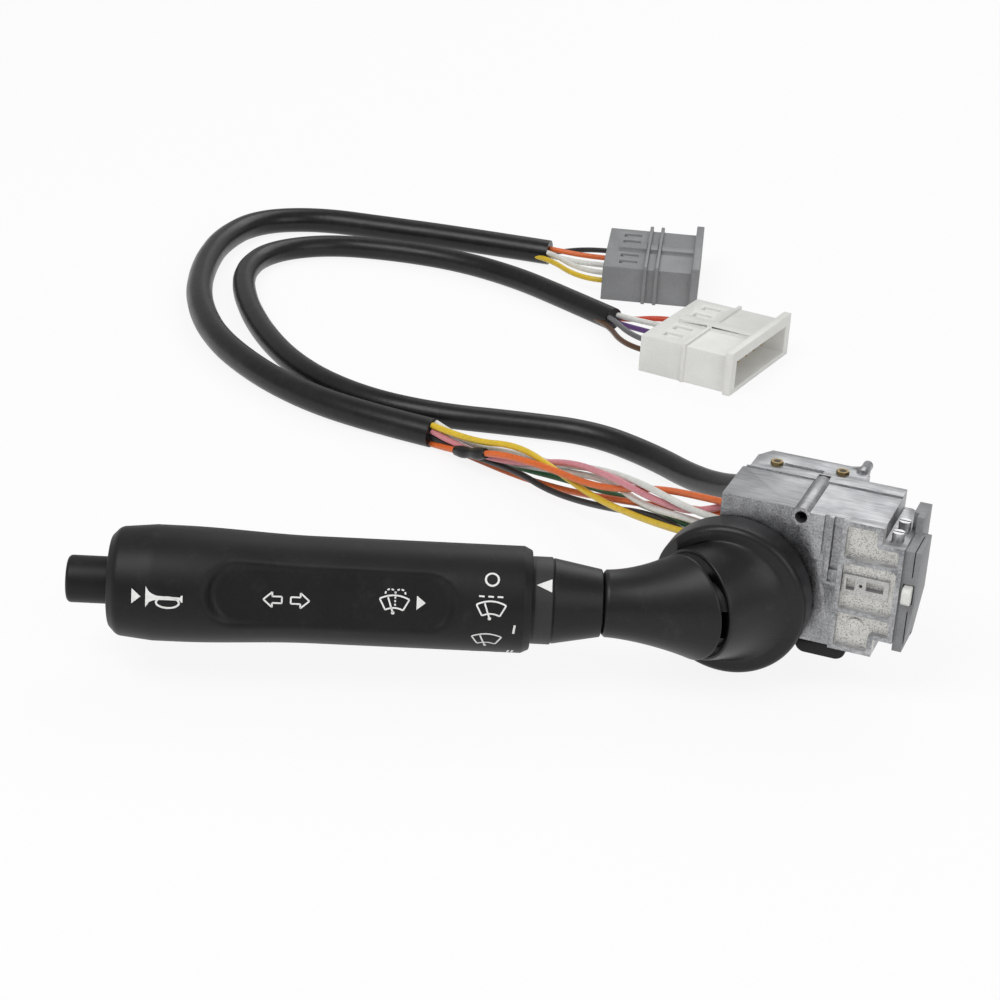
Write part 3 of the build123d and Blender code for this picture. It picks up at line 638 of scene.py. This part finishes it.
# hubOut is how far the hub stands behind the back, cornerIn and cornerUp ease the hollow's inner corner
bellSet = dict(radius=22.4, gap=0.6, thick=9.4, hub=12.0, hubOut=1.5, bore=8.15, wall=2.2, cornerIn=5.0,
               cornerUp=3.4, rim=3.8, rimRun=0.3, step=0.5, columns=192, face=15.2, channel=2.7, lip=0.6,
               lipRings=5, coneRings=33, valley=1.5, valleyAt=0.7, valleyShape=1.3, fullReach=20.0,
               mostReach=1.1, shaftHole=6.0, dip=((0.5, 0.0), (0.8, 0.3), (1.0, 0.7)),
               dipFloor=0.9)


# ring by ring: shaft bore, hollow back, rounded rim, dished cone, rolled lip and the face behind the mouth
def makeBell():
    b = bellSet
    theta = roundAngles(b["columns"])
    flat = np.stack([np.cos(theta), np.zeros_like(theta), np.sin(theta)], axis=-1)
    y0, front, r = -b["gap"], -b["thick"], b["radius"]
    deep, inside, hubY = front + b["wall"], r - b["wall"], y0 - b["hubOut"]
    back = roundedPath([(axisGap, hubY), (b["bore"], hubY), (b["bore"], y0), (b["hub"], y0), (b["hub"], deep),
                        (r - b["cornerIn"], deep), (inside, deep + b["cornerUp"]), (inside, y0), (r, y0),
                        (r, front), (r - b["rim"] - b["rimRun"], front)],
                       [0.2, 0.3, 0.4, 0.8, 1.5, 1.5, 0.3, 0.6, b["rim"]], b["step"])
    mouth = pivot + outDir * mm * neckSet["mouthAt"] - mitre * mm * b["channel"]
    side = np.cross(upDir, mitre)
    spoke = np.cos(theta)[:, None] * side + np.sin(theta)[:, None] * upDir

    def trimmed(ring, keep):   # nothing stands past the plane of the mouth
        return ring - np.clip((ring - mouth) @ mitre + keep * mm, 0, None)[:, None] * mitre

    outer = int(np.argmax(back[:, 0] > inside + 0.05))
    rings = []
    for k, (q, y) in enumerate(back):
        keep = b["lip"] + (b["wall"] if k < outer else 0)
        rings.append(trimmed(centre + flat * mm * q + np.array([0, y * mm, 0]), keep))
    base, target = rings[-1], mouth + spoke * (b["face"] + b["lip"]) * mm - mitre * b["lip"] * mm
    reach = np.linalg.norm(target - base, axis=1)[:, None] / (b["fullReach"] * mm)
    for w in np.linspace(0, 1, b["coneRings"] + 1)[1:]:
        dished = math.sin(math.pi * w ** b["valleyAt"]) ** b["valleyShape"]
        sink = b["valley"] * mm * dished * np.clip(reach, 0.0, b["mostReach"])
        rings.append(trimmed(base * (1 - w) + target * w + np.array([0, 1.0, 0]) * sink, b["lip"]))
    for turn in np.linspace(0, math.pi / 2, b["lipRings"] + 1)[1:]:
        grow, rise = b["lip"] * math.cos(turn), b["lip"] * (math.sin(turn) - 1)
        rings.append(mouth + spoke * (b["face"] + grow) * mm + mitre * rise * mm)
    face = [(b["face"] - less, sink) for less, sink in b["dip"]]
    for q, sink in face + [(b["shaftHole"], b["dipFloor"]), (axisGap, b["dipFloor"])]:
        rings.append(mouth + spoke * q * mm - mitre * sink * mm)
    obj = gridPiece("bellShell", np.array(rings), "turn_carrier", finish["bell"], closeV=True)
    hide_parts("bell_upper", "bell_lower")


makeHandle()
makeButton()
makeCollar()
makeNeck()
makeBell()
print("stage: stalk skins made")


# a stroke of given width or widths along a polyline (x, y) in mm, cut fine enough to wrap on a curved skin
def ribbon(path, width, across=4, step=0.25):
    p = np.asarray(path, float)
    w = np.broadcast_to(np.asarray(width, float), (len(p),))
    s = np.concatenate([[0], np.cumsum(pieceLengths(p))])
    even = np.linspace(0, s[-1], max(2, int(s[-1] / step) + 1))
    at = np.unique(np.concatenate([even, s]))
    x, y, wide = (np.interp(at, s, q) for q in (p[:, 0], p[:, 1], w))
    run = np.stack([np.gradient(x, at), np.gradient(y, at)], axis=-1)
    run /= np.linalg.norm(run, axis=1)[:, None] + 1e-9
    k = np.linspace(-0.5, 0.5, across)
    asideX, asideY = -run[:, 1:] * wide[:, None] * k, run[:, :1] * wide[:, None] * k
    return np.stack([x[:, None] + asideX, y[:, None] + asideY], axis=-1)


def circlePath(cx, cy, r, a0=0.0, a1=360.0, n=40):
    a = np.radians(np.linspace(a0, a1, n))
    return np.stack([cx + r * np.cos(a), cy + r * np.sin(a)], axis=-1)


# lays flat strokes on a skin: surface(x, y) gives points in metres for arrays of local coordinates
def printOn(name, strokes, surface, body):
    verts, quads, base = [], [], 0
    for g in strokes:
        rows, cols = g.shape[:2]
        verts.append(surface(g[..., 0], g[..., 1]).reshape(-1, 3))
        a, b = np.meshgrid(np.arange(rows - 1), np.arange(cols - 1), indexing="ij")
        q = np.stack([a * cols + b, a * cols + b + 1, (a + 1) * cols + b + 1, (a + 1) * cols + b], axis=-1)
        quads.append(q.reshape(-1, 4) + base)
        base += rows * cols
    obj = meshPiece(name, np.concatenate(verts), np.concatenate(quads), body, finish["mark"])


# x runs toward the housing and y up the skin, in mm; each symbol sits at a station and an angle in degrees
symbolSet = dict(lift=0.035, bandLift=0.06, arrows=(118.5, 13.0), washer=(89.5, 17.5), horn=(150.7, 12.0),
                 dialStation=63.5, dialOff=47.0, dialPause=17.0, dialOne=-20.0, dialTwo=-62.0, stroke=0.45,
                 heavy=0.55, tick=0.6, wedgeTip=0.02)


def onHandle(station, angle):
    def place(x, y):
        t = station - x
        return handlePoint(t, math.radians(angle) + y / bodyRadius(t), symbolSet["lift"])
    return place


def onBand(station, angle):
    r = collarSet["radius"] + symbolSet["bandLift"]

    def place(x, y):
        a = math.radians(angle) + y / r
        return onStalk((station - x) * mm, r * mm * np.sin(a), -r * mm * np.cos(a))
    return place


# a solid triangle whose base is at x0 and point at x1
def wedge(x0, x1, y, half):
    return ribbon([(x0, y), (x1, y)], [2 * half, symbolSet["wedgeTip"]], across=9)


arrowSet = dict(tip=2.6, neck=0.2, tail=-2.4, half=2.1, shaft=0.9)


# way is 1 where the arrow points along x and -1 where it points back
def outlineArrow(x, way):
    tip, neck, tail = (x + arrowSet[k] * way for k in ("tip", "neck", "tail"))
    h, b = arrowSet["half"], arrowSet["shaft"]
    pts = [(tip, 0), (neck, h), (neck, b), (tail, b), (tail, -b), (neck, -b), (neck, -h), (tip, 0)]
    return [ribbon([p, q], symbolSet["stroke"]) for p, q in zip(pts[:-1], pts[1:])]


# shares of the width and height; the arm runs from its tip to the hub
screenSet = dict(width=8.0, height=4.3, top=0.5, topBow=0.24, foot=0.3, footHalf=0.3, footBow=0.14,
                 arm=((-0.22, 0.36), (-0.04, -0.62)), hub=0.24, hubStroke=0.48)


# windscreen: a fan whose top and bottom edges bow upward, with one wiper arm and its hub
def screen(cx, cy):
    p, k = screenSet, symbolSet["stroke"]
    w, h = p["width"], p["height"]
    top = [(cx + x * w / 2, cy + h * (p["top"] - p["topBow"] * x * x)) for x in np.linspace(-1, 1, 15)]
    low = [(cx + x * w * p["footHalf"], cy - h * (p["foot"] + p["footBow"] * x * x))
           for x in np.linspace(-1, 1, 11)]
    arm = [(cx + w * x, cy + h * y) for x, y in p["arm"]]
    return [ribbon(top, k), ribbon(low, k), ribbon([top[0], low[0]], k), ribbon([top[-1], low[-1]], k),
            ribbon(arm, k), ribbon(circlePath(*arm[1], p["hub"], n=14), p["hubStroke"])]


spraySet = dict(dashes=(-2.3, -1.3, -0.3), dash=0.55, radius=1.35, up=0.9, start=78, end=48,
                turns=(-12, 38, 88, 138))


# dashed jet that rises from the middle and falls to both sides
def spray(cx, cy):
    p, k = spraySet, symbolSet["stroke"]
    strokes = [ribbon([(cx, cy + y), (cx, cy + y + p["dash"])], k) for y in p["dashes"]]
    for side in (-1, 1):
        for a in p["turns"]:
            arc = circlePath(cx + side * p["radius"], cy + p["up"], p["radius"],
                             90 - side * (p["start"] - a), 90 - side * (p["end"] - a), 6)
            strokes.append(ribbon(arc, k))
    return strokes


def onDial(name, strokes, angle):
    printOn(name, strokes, onHandle(symbolSet["dialStation"], symbolSet[angle]), "handle")


# a signal horn: (x, y) down the middle of its tube, the widths there, and the loop below
hornSet = dict(tube=((-5.1, 0.2), (-4.7, 0.2), (-4.1, 0.2), (-3.1, 0.15), (-2.0, 0.1), (4.2, 0.0),
                     (4.3, 0.0), (4.8, 0.0)), widths=(5.8, 4.6, 2.8, 1.7, 1.1, 0.85, 1.7, 2.0),
               loopHalf=(3.05, 1.5), loopMiddle=(0.8, -1.15))


def makeMarks():
    s, p = symbolSet, hornSet
    printOn("markTurnArrows", outlineArrow(-3.6, -1) + outlineArrow(3.6, 1), onHandle(*s["arrows"]), "handle")
    wash = screen(0.0, -0.6) + spray(0.2, 1.0) + [wedge(6.0, 8.4, -0.2, 1.95)]
    printOn("markWasher", wash, onHandle(*s["washer"]), "handle")
    loop = circlePath(0, 0, 1.0, n=48) * p["loopHalf"] + p["loopMiddle"]
    tube = ribbon(p["tube"], p["widths"], across=9)
    horn = [wedge(-8.8, -6.4, 0.3, 2.1), tube, ribbon(loop, s["heavy"])]
    printOn("markHorn", horn, onHandle(*s["horn"]), "handle")
    onDial("markDialOff", [ribbon(circlePath(0, 0, 1.75), s["heavy"])], "dialOff")
    dashes = [ribbon([(x, 3.0), (x + 1.5, 2.96)], s["stroke"]) for x in (-3.4, -0.9, 1.6)]
    onDial("markDialPause", screen(0.0, -0.4) + dashes, "dialPause")
    onDial("markDialOne", [ribbon([(6.3, 2.0), (6.6, 4.8)], s["tick"])] + screen(-0.8, -0.6), "dialOne")
    ticks = [ribbon([(x, 2.0), (x + 0.3, 4.8)], s["tick"]) for x in (5.2, 6.3)]
    onDial("markDialTwo", ticks + screen(-0.8, -0.6), "dialTwo")
    band = collarSet["band"] + collarSet["bandOff"] + collarSet["bandWidth"] / 2
    printOn("markIndex", [wedge(2.1, -2.1, 0.0, 1.9)], onBand(band, s["dialOff"]), "lever")


makeMarks()
print("stage: symbols printed")


softSet = dict(weld=2e-6, flat=1.0, sharp=28.0, smooth=32.0, segments=2)


# the same solid with its sharp edges eased, as a moulded or cast piece has them
def softCopy(name, node, body, mat, width):
    p = softSet
    bm = bmesh.new()
    bm.from_mesh(nodes[node].data)
    bmesh.ops.transform(bm, matrix=nodes[node].matrix_world, verts=bm.verts)
    bmesh.ops.remove_doubles(bm, verts=bm.verts, dist=p["weld"])
    bmesh.ops.dissolve_limit(bm, angle_limit=math.radians(p["flat"]), verts=bm.verts, edges=bm.edges)
    least = math.radians(p["sharp"])
    sharp = [e for e in bm.edges if len(e.link_faces) == 2 and e.calc_face_angle(0) > least]
    bmesh.ops.bevel(bm, geom=sharp, offset=width * mm, offset_type="OFFSET", segments=p["segments"],
                    profile=0.5, affect="EDGES", clamp_overlap=True, harden_normals=False)
    bmesh.ops.recalc_face_normals(bm, faces=bm.faces)
    mesh = bpy.data.meshes.new(name)
    bm.to_mesh(mesh)
    bm.free()
    mesh.shade_smooth()
    mesh.set_sharp_from_angle(angle=math.radians(p["smooth"]))
    obj = newObject(name, mesh)
    mesh.materials.clear()
    mesh.materials.append(mat)
    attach(obj, body)
    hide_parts(node)


for name, node, body, mat, slot, width in (
        ("casting", "switch_housing", "switch_body", "zinc", "cast_zinc", 0.35),
        ("coverPlate", "side_cover", "switch_body", "greyPlastic", "grey_plastic", 0.3),
        ("cancelPawl", "cancel_pawl", "pawl", "plugWhite", "white_plastic", 0.3),
        ("lowerCap", "lower_cap", "switch_body", "blackPlastic", "black_plastic", 0.5),
        ("whitePlug", "white_plug", "switch_body", "plugWhite", "white_plastic", 0.3),
        ("greyPlug", "grey_plug", "switch_body", "plugGrey", "grey_plastic", 0.3)):
    softCopy(name, node, body, finish[mat], width)
print("stage: edges softened")


# the cords' own lines: control points of their splines, in metres
routes = {
    "harness_sleeve_a": [(-0.0155, 0.035, -0.0174), (-0.0155, 0.05, -0.0174), (-0.0245, 0.066, -0.0234),
        (-0.0405, 0.083, -0.0354), (-0.0585, 0.102, -0.0434), (-0.0785, 0.12, -0.0467),
        (-0.1025, 0.129, -0.0468), (-0.1285, 0.124, -0.0468), (-0.1565, 0.117, -0.0468),
        (-0.1845, 0.118, -0.0468), (-0.2125, 0.13, -0.0468), (-0.2385, 0.153, -0.0468),
        (-0.2625, 0.183, -0.0468), (-0.2785, 0.212, -0.0468), (-0.2805, 0.238, -0.0468),
        (-0.2645, 0.258, -0.0468), (-0.2385, 0.266, -0.0468), (-0.2105, 0.268, -0.0468),
        (-0.1845, 0.262, -0.0468), (-0.1625, 0.252, -0.0468), (-0.1327, 0.2364, -0.0468)],
    "harness_sleeve_b": [(-0.1505, 0.101, -0.0462), (-0.1765, 0.103, -0.0462), (-0.2045, 0.11, -0.0462),
        (-0.2305, 0.124, -0.0462), (-0.2565, 0.145, -0.0462), (-0.2795, 0.176, -0.0462),
        (-0.2945, 0.21, -0.0462), (-0.3025, 0.241, -0.0462), (-0.3005, 0.268, -0.0462),
        (-0.2805, 0.284, -0.0462), (-0.2505, 0.288, -0.0462), (-0.2195, 0.292, -0.0462),
        (-0.1806, 0.2947, -0.0462)],
    "wire_orange_spliced": [(-0.15, 0.0997, -0.0496), (-0.1334, 0.0898, -0.046), (-0.1202, 0.0829, -0.0398),
        (-0.1007, 0.0753, -0.0375), (-0.0777, 0.063, -0.0354), (-0.0554, 0.0485, -0.024),
        (-0.0363, 0.0299, -0.015), (-0.0228, 0.0215, -0.0114)],
    "wire_white_a": [(-0.1498, 0.1023, -0.0428), (-0.1342, 0.0958, -0.0457), (-0.1175, 0.0875, -0.0408),
        (-0.1004, 0.0829, -0.0396), (-0.0813, 0.0728, -0.0331), (-0.0598, 0.0487, -0.0237),
        (-0.0372, 0.0254, -0.0184), (-0.0228, 0.0215, -0.0174)],
    "wire_yellow": [(-0.15, 0.0997, -0.0428), (-0.1327, 0.0913, -0.0418), (-0.113, 0.0826, -0.0354),
        (-0.0977, 0.0766, -0.0384), (-0.0799, 0.0653, -0.0401), (-0.0584, 0.0462, -0.0342),
        (-0.0379, 0.0273, -0.0264), (-0.0228, 0.0215, -0.0234)],
    "wire_pink": [(-0.15, 0.0997, -0.045), (-0.1331, 0.0933, -0.0469), (-0.1119, 0.0837, -0.0425),
        (-0.0936, 0.0779, -0.035), (-0.0728, 0.0586, -0.0283), (-0.0538, 0.0426, -0.0256),
        (-0.0358, 0.0292, -0.0205), (-0.0228, 0.027, -0.0114)],
    "wire_orange": [(-0.1498, 0.1023, -0.0496), (-0.1348, 0.0972, -0.05), (-0.1148, 0.0899, -0.05),
        (-0.0955, 0.0824, -0.0478), (-0.0734, 0.0646, -0.0386), (-0.0537, 0.0475, -0.0293),
        (-0.0368, 0.0328, -0.0204), (-0.0228, 0.027, -0.0174)],
    "wire_white_b": [(-0.1498, 0.1023, -0.045), (-0.1346, 0.0976, -0.049), (-0.1132, 0.0882, -0.045),
        (-0.0941, 0.0802, -0.0399), (-0.076, 0.0669, -0.0335), (-0.0603, 0.0504, -0.0318),
        (-0.0386, 0.0289, -0.0224), (-0.0228, 0.027, -0.0234)],
    "wire_black": [(-0.15, 0.0997, -0.0473), (-0.1341, 0.0953, -0.0485), (-0.114, 0.0856, -0.046),
        (-0.0993, 0.0779, -0.0473), (-0.0774, 0.0646, -0.0422), (-0.0564, 0.0484, -0.0328),
        (-0.0382, 0.0297, -0.028), (-0.0228, 0.0215, -0.0294)],
    "wire_green": [(-0.1498, 0.1023, -0.0473), (-0.1362, 0.1013, -0.05), (-0.1155, 0.0913, -0.0474),
        (-0.0976, 0.0843, -0.0447), (-0.0771, 0.0713, -0.0398), (-0.0581, 0.0539, -0.0336),
        (-0.0391, 0.0323, -0.0264), (-0.0228, 0.027, -0.0294)],
    "plug_wire_brown": [(-0.1426, 0.2383, -0.048), (-0.1342, 0.2339, -0.048), (-0.1197, 0.2095, -0.0455),
        (-0.1103, 0.2082, -0.0455)],
    "plug_wire_grey": [(-0.1419, 0.2396, -0.0456), (-0.1335, 0.2352, -0.0456), (-0.1185, 0.2185, -0.0455),
        (-0.109, 0.2171, -0.0455)],
    "plug_wire_violet": [(-0.1412, 0.2409, -0.048), (-0.1328, 0.2365, -0.048), (-0.1172, 0.2274, -0.0455),
        (-0.1078, 0.226, -0.0455)],
    "plug_wire_white": [(-0.1406, 0.2421, -0.0456), (-0.1321, 0.2377, -0.0456), (-0.116, 0.2363, -0.0455),
        (-0.1065, 0.235, -0.0455)],
    "plug_wire_red": [(-0.1399, 0.2434, -0.048), (-0.1315, 0.239, -0.048), (-0.1147, 0.2452, -0.0455),
        (-0.1053, 0.2439, -0.0455)],
    "plug_wire_yellow": [(-0.19, 0.2911, -0.0474), (-0.1805, 0.2918, -0.0474), (-0.1593, 0.2701, -0.0455),
        (-0.1501, 0.2725, -0.0455)],
    "plug_wire_white_b": [(-0.1901, 0.2926, -0.045), (-0.1806, 0.2932, -0.045), (-0.1616, 0.2788, -0.0455),
        (-0.1525, 0.2812, -0.0455)],
    "plug_wire_white_c": [(-0.1902, 0.294, -0.0474), (-0.1807, 0.2947, -0.0474), (-0.164, 0.2875, -0.0455),
        (-0.1548, 0.2899, -0.0455)],
    "plug_wire_orange": [(-0.1903, 0.2955, -0.045), (-0.1808, 0.2961, -0.045), (-0.1663, 0.2962, -0.0455),
        (-0.1571, 0.2986, -0.0455)],
    "plug_wire_black": [(-0.1904, 0.2969, -0.0474), (-0.1809, 0.2976, -0.0474), (-0.1686, 0.3049, -0.0455),
        (-0.1594, 0.3073, -0.0455)],
}


# the points of a cord's own line, without its thickness
def linePoints(obj):
    bevel, obj.data.bevel_depth = obj.data.bevel_depth, 0.0
    mesh = bpy.data.meshes.new_from_object(obj)
    obj.data.bevel_depth = bevel
    points = meshPoints(mesh)
    bpy.data.meshes.remove(mesh)
    return points


cordSet = dict(order=3, steps=12, roundness=6)


# a round cord on one smooth spline whose control points are the route's points
def layCord(name, key, radius, mat, replaces):
    curve = bpy.data.curves.new(name, "CURVE")
    curve.dimensions = "3D"
    s = curve.splines.new("NURBS")
    s.points.add(len(routes[key]) - 1)
    for q, p in zip(s.points, routes[key]):
        q.co, q.radius = (*p, 1.0), radius   # the box of a curve grows by this radius too
    s.order_u = cordSet["order"]
    s.use_endpoint_u = True
    curve.resolution_u = cordSet["steps"]
    curve.bevel_depth = 1.0                  # times each point's radius
    curve.bevel_resolution = cordSet["roundness"]
    curve.use_fill_caps = True
    obj = newObject(name, curve)
    curve.materials.append(mat)
    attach(obj, "switch_body")
    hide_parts(*replaces)
    return obj


def declareCord(obj, pieces=()):
    float(pieceLengths(linePoints(obj)).sum())


sleeveSet = dict(a=0.0044, b=0.005)
wireRadius = 0.00105
spliceSet = dict(start=0.0135, length=0.0165, radius=0.0021, shrink=0.16, taper=0.2, taperFrom=0.8,
                 closed=0.9, rings=40, columns=32, sharp=40.0)


# shrink tube: rings across the lead's own line, tight at both ends, with two soft lumps over the joint
def makeSplice(lead):
    p = spliceSet
    line = linePoints(lead)
    along = np.concatenate([[0], np.cumsum(pieceLengths(line))])
    share = np.linspace(0, 1, p["rings"])
    at = p["start"] + p["length"] * share
    mid = np.stack([np.interp(at, along, line[:, k]) for k in range(3)], axis=1)
    run = np.gradient(mid, axis=0)
    run /= np.linalg.norm(run, axis=1)[:, None]
    side = np.cross(run, upDir)
    side /= np.linalg.norm(side, axis=1)[:, None]
    rise = np.cross(side, run)
    waist = p["shrink"] * (0.5 + 0.5 * np.cos(share * 4 * math.pi))
    ends = p["taper"] * np.maximum(0, np.abs(share * 2 - 1) - p["taperFrom"])
    size = p["radius"] * (1 - waist - ends)
    size[0] = size[-1] = wireRadius * p["closed"]
    turn = roundAngles(p["columns"])
    across = np.cos(turn)[:, None] * side[:, None] + np.sin(turn)[:, None] * rise[:, None]
    ring = mid[:, None] + size[:, None, None] * across
    obj = gridPiece("spliceTube", ring, "switch_body", finish["sleeve"])
    bm = bmesh.new()
    bm.from_mesh(obj.data)
    bmesh.ops.holes_fill(bm, edges=[e for e in bm.edges if e.is_boundary])
    bmesh.ops.recalc_face_normals(bm, faces=bm.faces)
    bm.to_mesh(obj.data)
    bm.free()
    obj.data.shade_smooth()
    obj.data.set_sharp_from_angle(angle=math.radians(p["sharp"]))
    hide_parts("splice_sleeve")
    return obj


# the word after before in a lead's key is the colour of its jacket
def layLead(before, name, *more):
    key, color = before + name, name.split("_")[0]
    return layCord(key + "Lead", key, wireRadius, jackets[color.title()], [key, *more])


frontWires = ("orange_spliced", "white_a", "yellow", "pink", "orange", "white_b", "black", "green")
plugWires = dict(white_plug=("brown", "grey", "violet", "white", "red"),
                 grey_plug=("yellow", "white_b", "white_c", "orange", "black"))
plugShells = dict(white_plug="whitePlug", grey_plug="greyPlug")


def makeHarness():
    for letter, radius in sleeveSet.items():
        key = "harness_sleeve_" + letter
        tube = layCord("sleeve_" + letter + "Tube", key, radius, finish["sleeve"], [key])
        declareCord(tube)
    for name in frontWires:
        spliced = name == "orange_spliced"
        lead = layLead("wire_", name, *["splice_stub"] * spliced)
        declareCord(lead, [makeSplice(lead)] if spliced else [])
    for plug, names in plugWires.items():
        pieces = [bpy.data.objects[plugShells[plug]], nodes[plug + "_lock"], nodes[plug + "_pins"]]
        for name in names:
            declareCord(layLead("plug_wire_", name), pieces)


makeHarness()
print("stage: harness laid")


lampSet = dict(keyLamp=dict(place=(-0.45, -0.75, 1.15), aim=(-0.05, 0.05, -0.03), size=0.8, power=10.0),
               fillLamp=dict(place=(0.9, -0.5, 0.6), aim=(0.0, 0.0, -0.03), size=0.8, power=3.5),
               rimLamp=dict(place=(-0.1, 1.1, 0.9), aim=(-0.05, 0.1, -0.03), size=0.9, power=5.0))


def areaLight(name, place, aim, size, power):
    lamp = bpy.data.lights.new(name, "AREA")
    lamp.shape, lamp.size, lamp.energy = "SQUARE", size, power
    obj = newObject(name, lamp)
    obj.location = place
    obj.rotation_euler = (Vector(aim) - Vector(place)).to_track_quat("-Z", "Y").to_euler()


# 1 for a ray of one of the kinds, 0 for any other
def rayIs(tree, *kinds):
    ray = tree.nodes.new("ShaderNodeLightPath")
    seen = ray.outputs[kinds[0]]
    for kind in kinds[1:]:
        seen = mathNode(tree, "MAXIMUM", seen, ray.outputs[kind])
    return seen


studioSet = dict(level=0.42, floorHalf=8.0, floorColor=(0.86, 0.86, 0.86, 1), floorRough=0.9, floorGlow=0.88)


# white where it is looked at, dimmer where it only lights the part
def makeWorld():
    world = bpy.data.worlds.new("studio")
    bpy.context.scene.world = world
    world.use_nodes = True
    t = world.node_tree
    bg = t.nodes["Background"]
    bg.inputs["Color"].default_value = (1, 1, 1, 1)
    seen = rayIs(t, "Is Camera Ray", "Is Transmission Ray")
    level = addNode(t, "ShaderNodeMapRange", {"To Min": studioSet["level"], "To Max": 1.0}, Value=seen)
    t.links.new(level.outputs[0], bg.inputs["Strength"])


# matt white that takes the shadow, with a glow where it is looked at
def makeFloor():
    s = studioSet
    r = s["floorHalf"]
    mesh = bpy.data.meshes.new("floor")
    mesh.from_pydata([(-r, -r, floorZ), (r, -r, floorZ), (r, r, floorZ), (-r, r, floorZ)], [], [(0, 1, 2, 3)])
    floor = newObject("floor", mesh)
    m = bpy.data.materials.new("floorWhite")
    m.use_nodes = True
    t = m.node_tree
    matt = t.nodes["Principled BSDF"]
    matt.inputs["Base Color"].default_value = s["floorColor"]
    matt.inputs["Roughness"].default_value = s["floorRough"]
    glow = addNode(t, "ShaderNodeEmission", {"Color": (1, 1, 1, 1), "Strength": 1.0})
    seen = rayIs(t, "Is Camera Ray", "Is Glossy Ray", "Is Transmission Ray")
    mix = t.nodes.new("ShaderNodeMixShader")
    t.links.new(mathNode(t, "MULTIPLY", seen, s["floorGlow"]), mix.inputs[0])
    t.links.new(matt.outputs[0], mix.inputs[1])
    t.links.new(glow.outputs[0], mix.inputs[2])
    t.links.new(mix.outputs[0], t.nodes["Material Output"].inputs["Surface"])
    mesh.materials.append(m)


for name, lamp in lampSet.items():
    areaLight(name, **lamp)
makeWorld()
makeFloor()
bpy.context.scene.view_settings.view_transform = "Standard"
print("stage: studio lit")
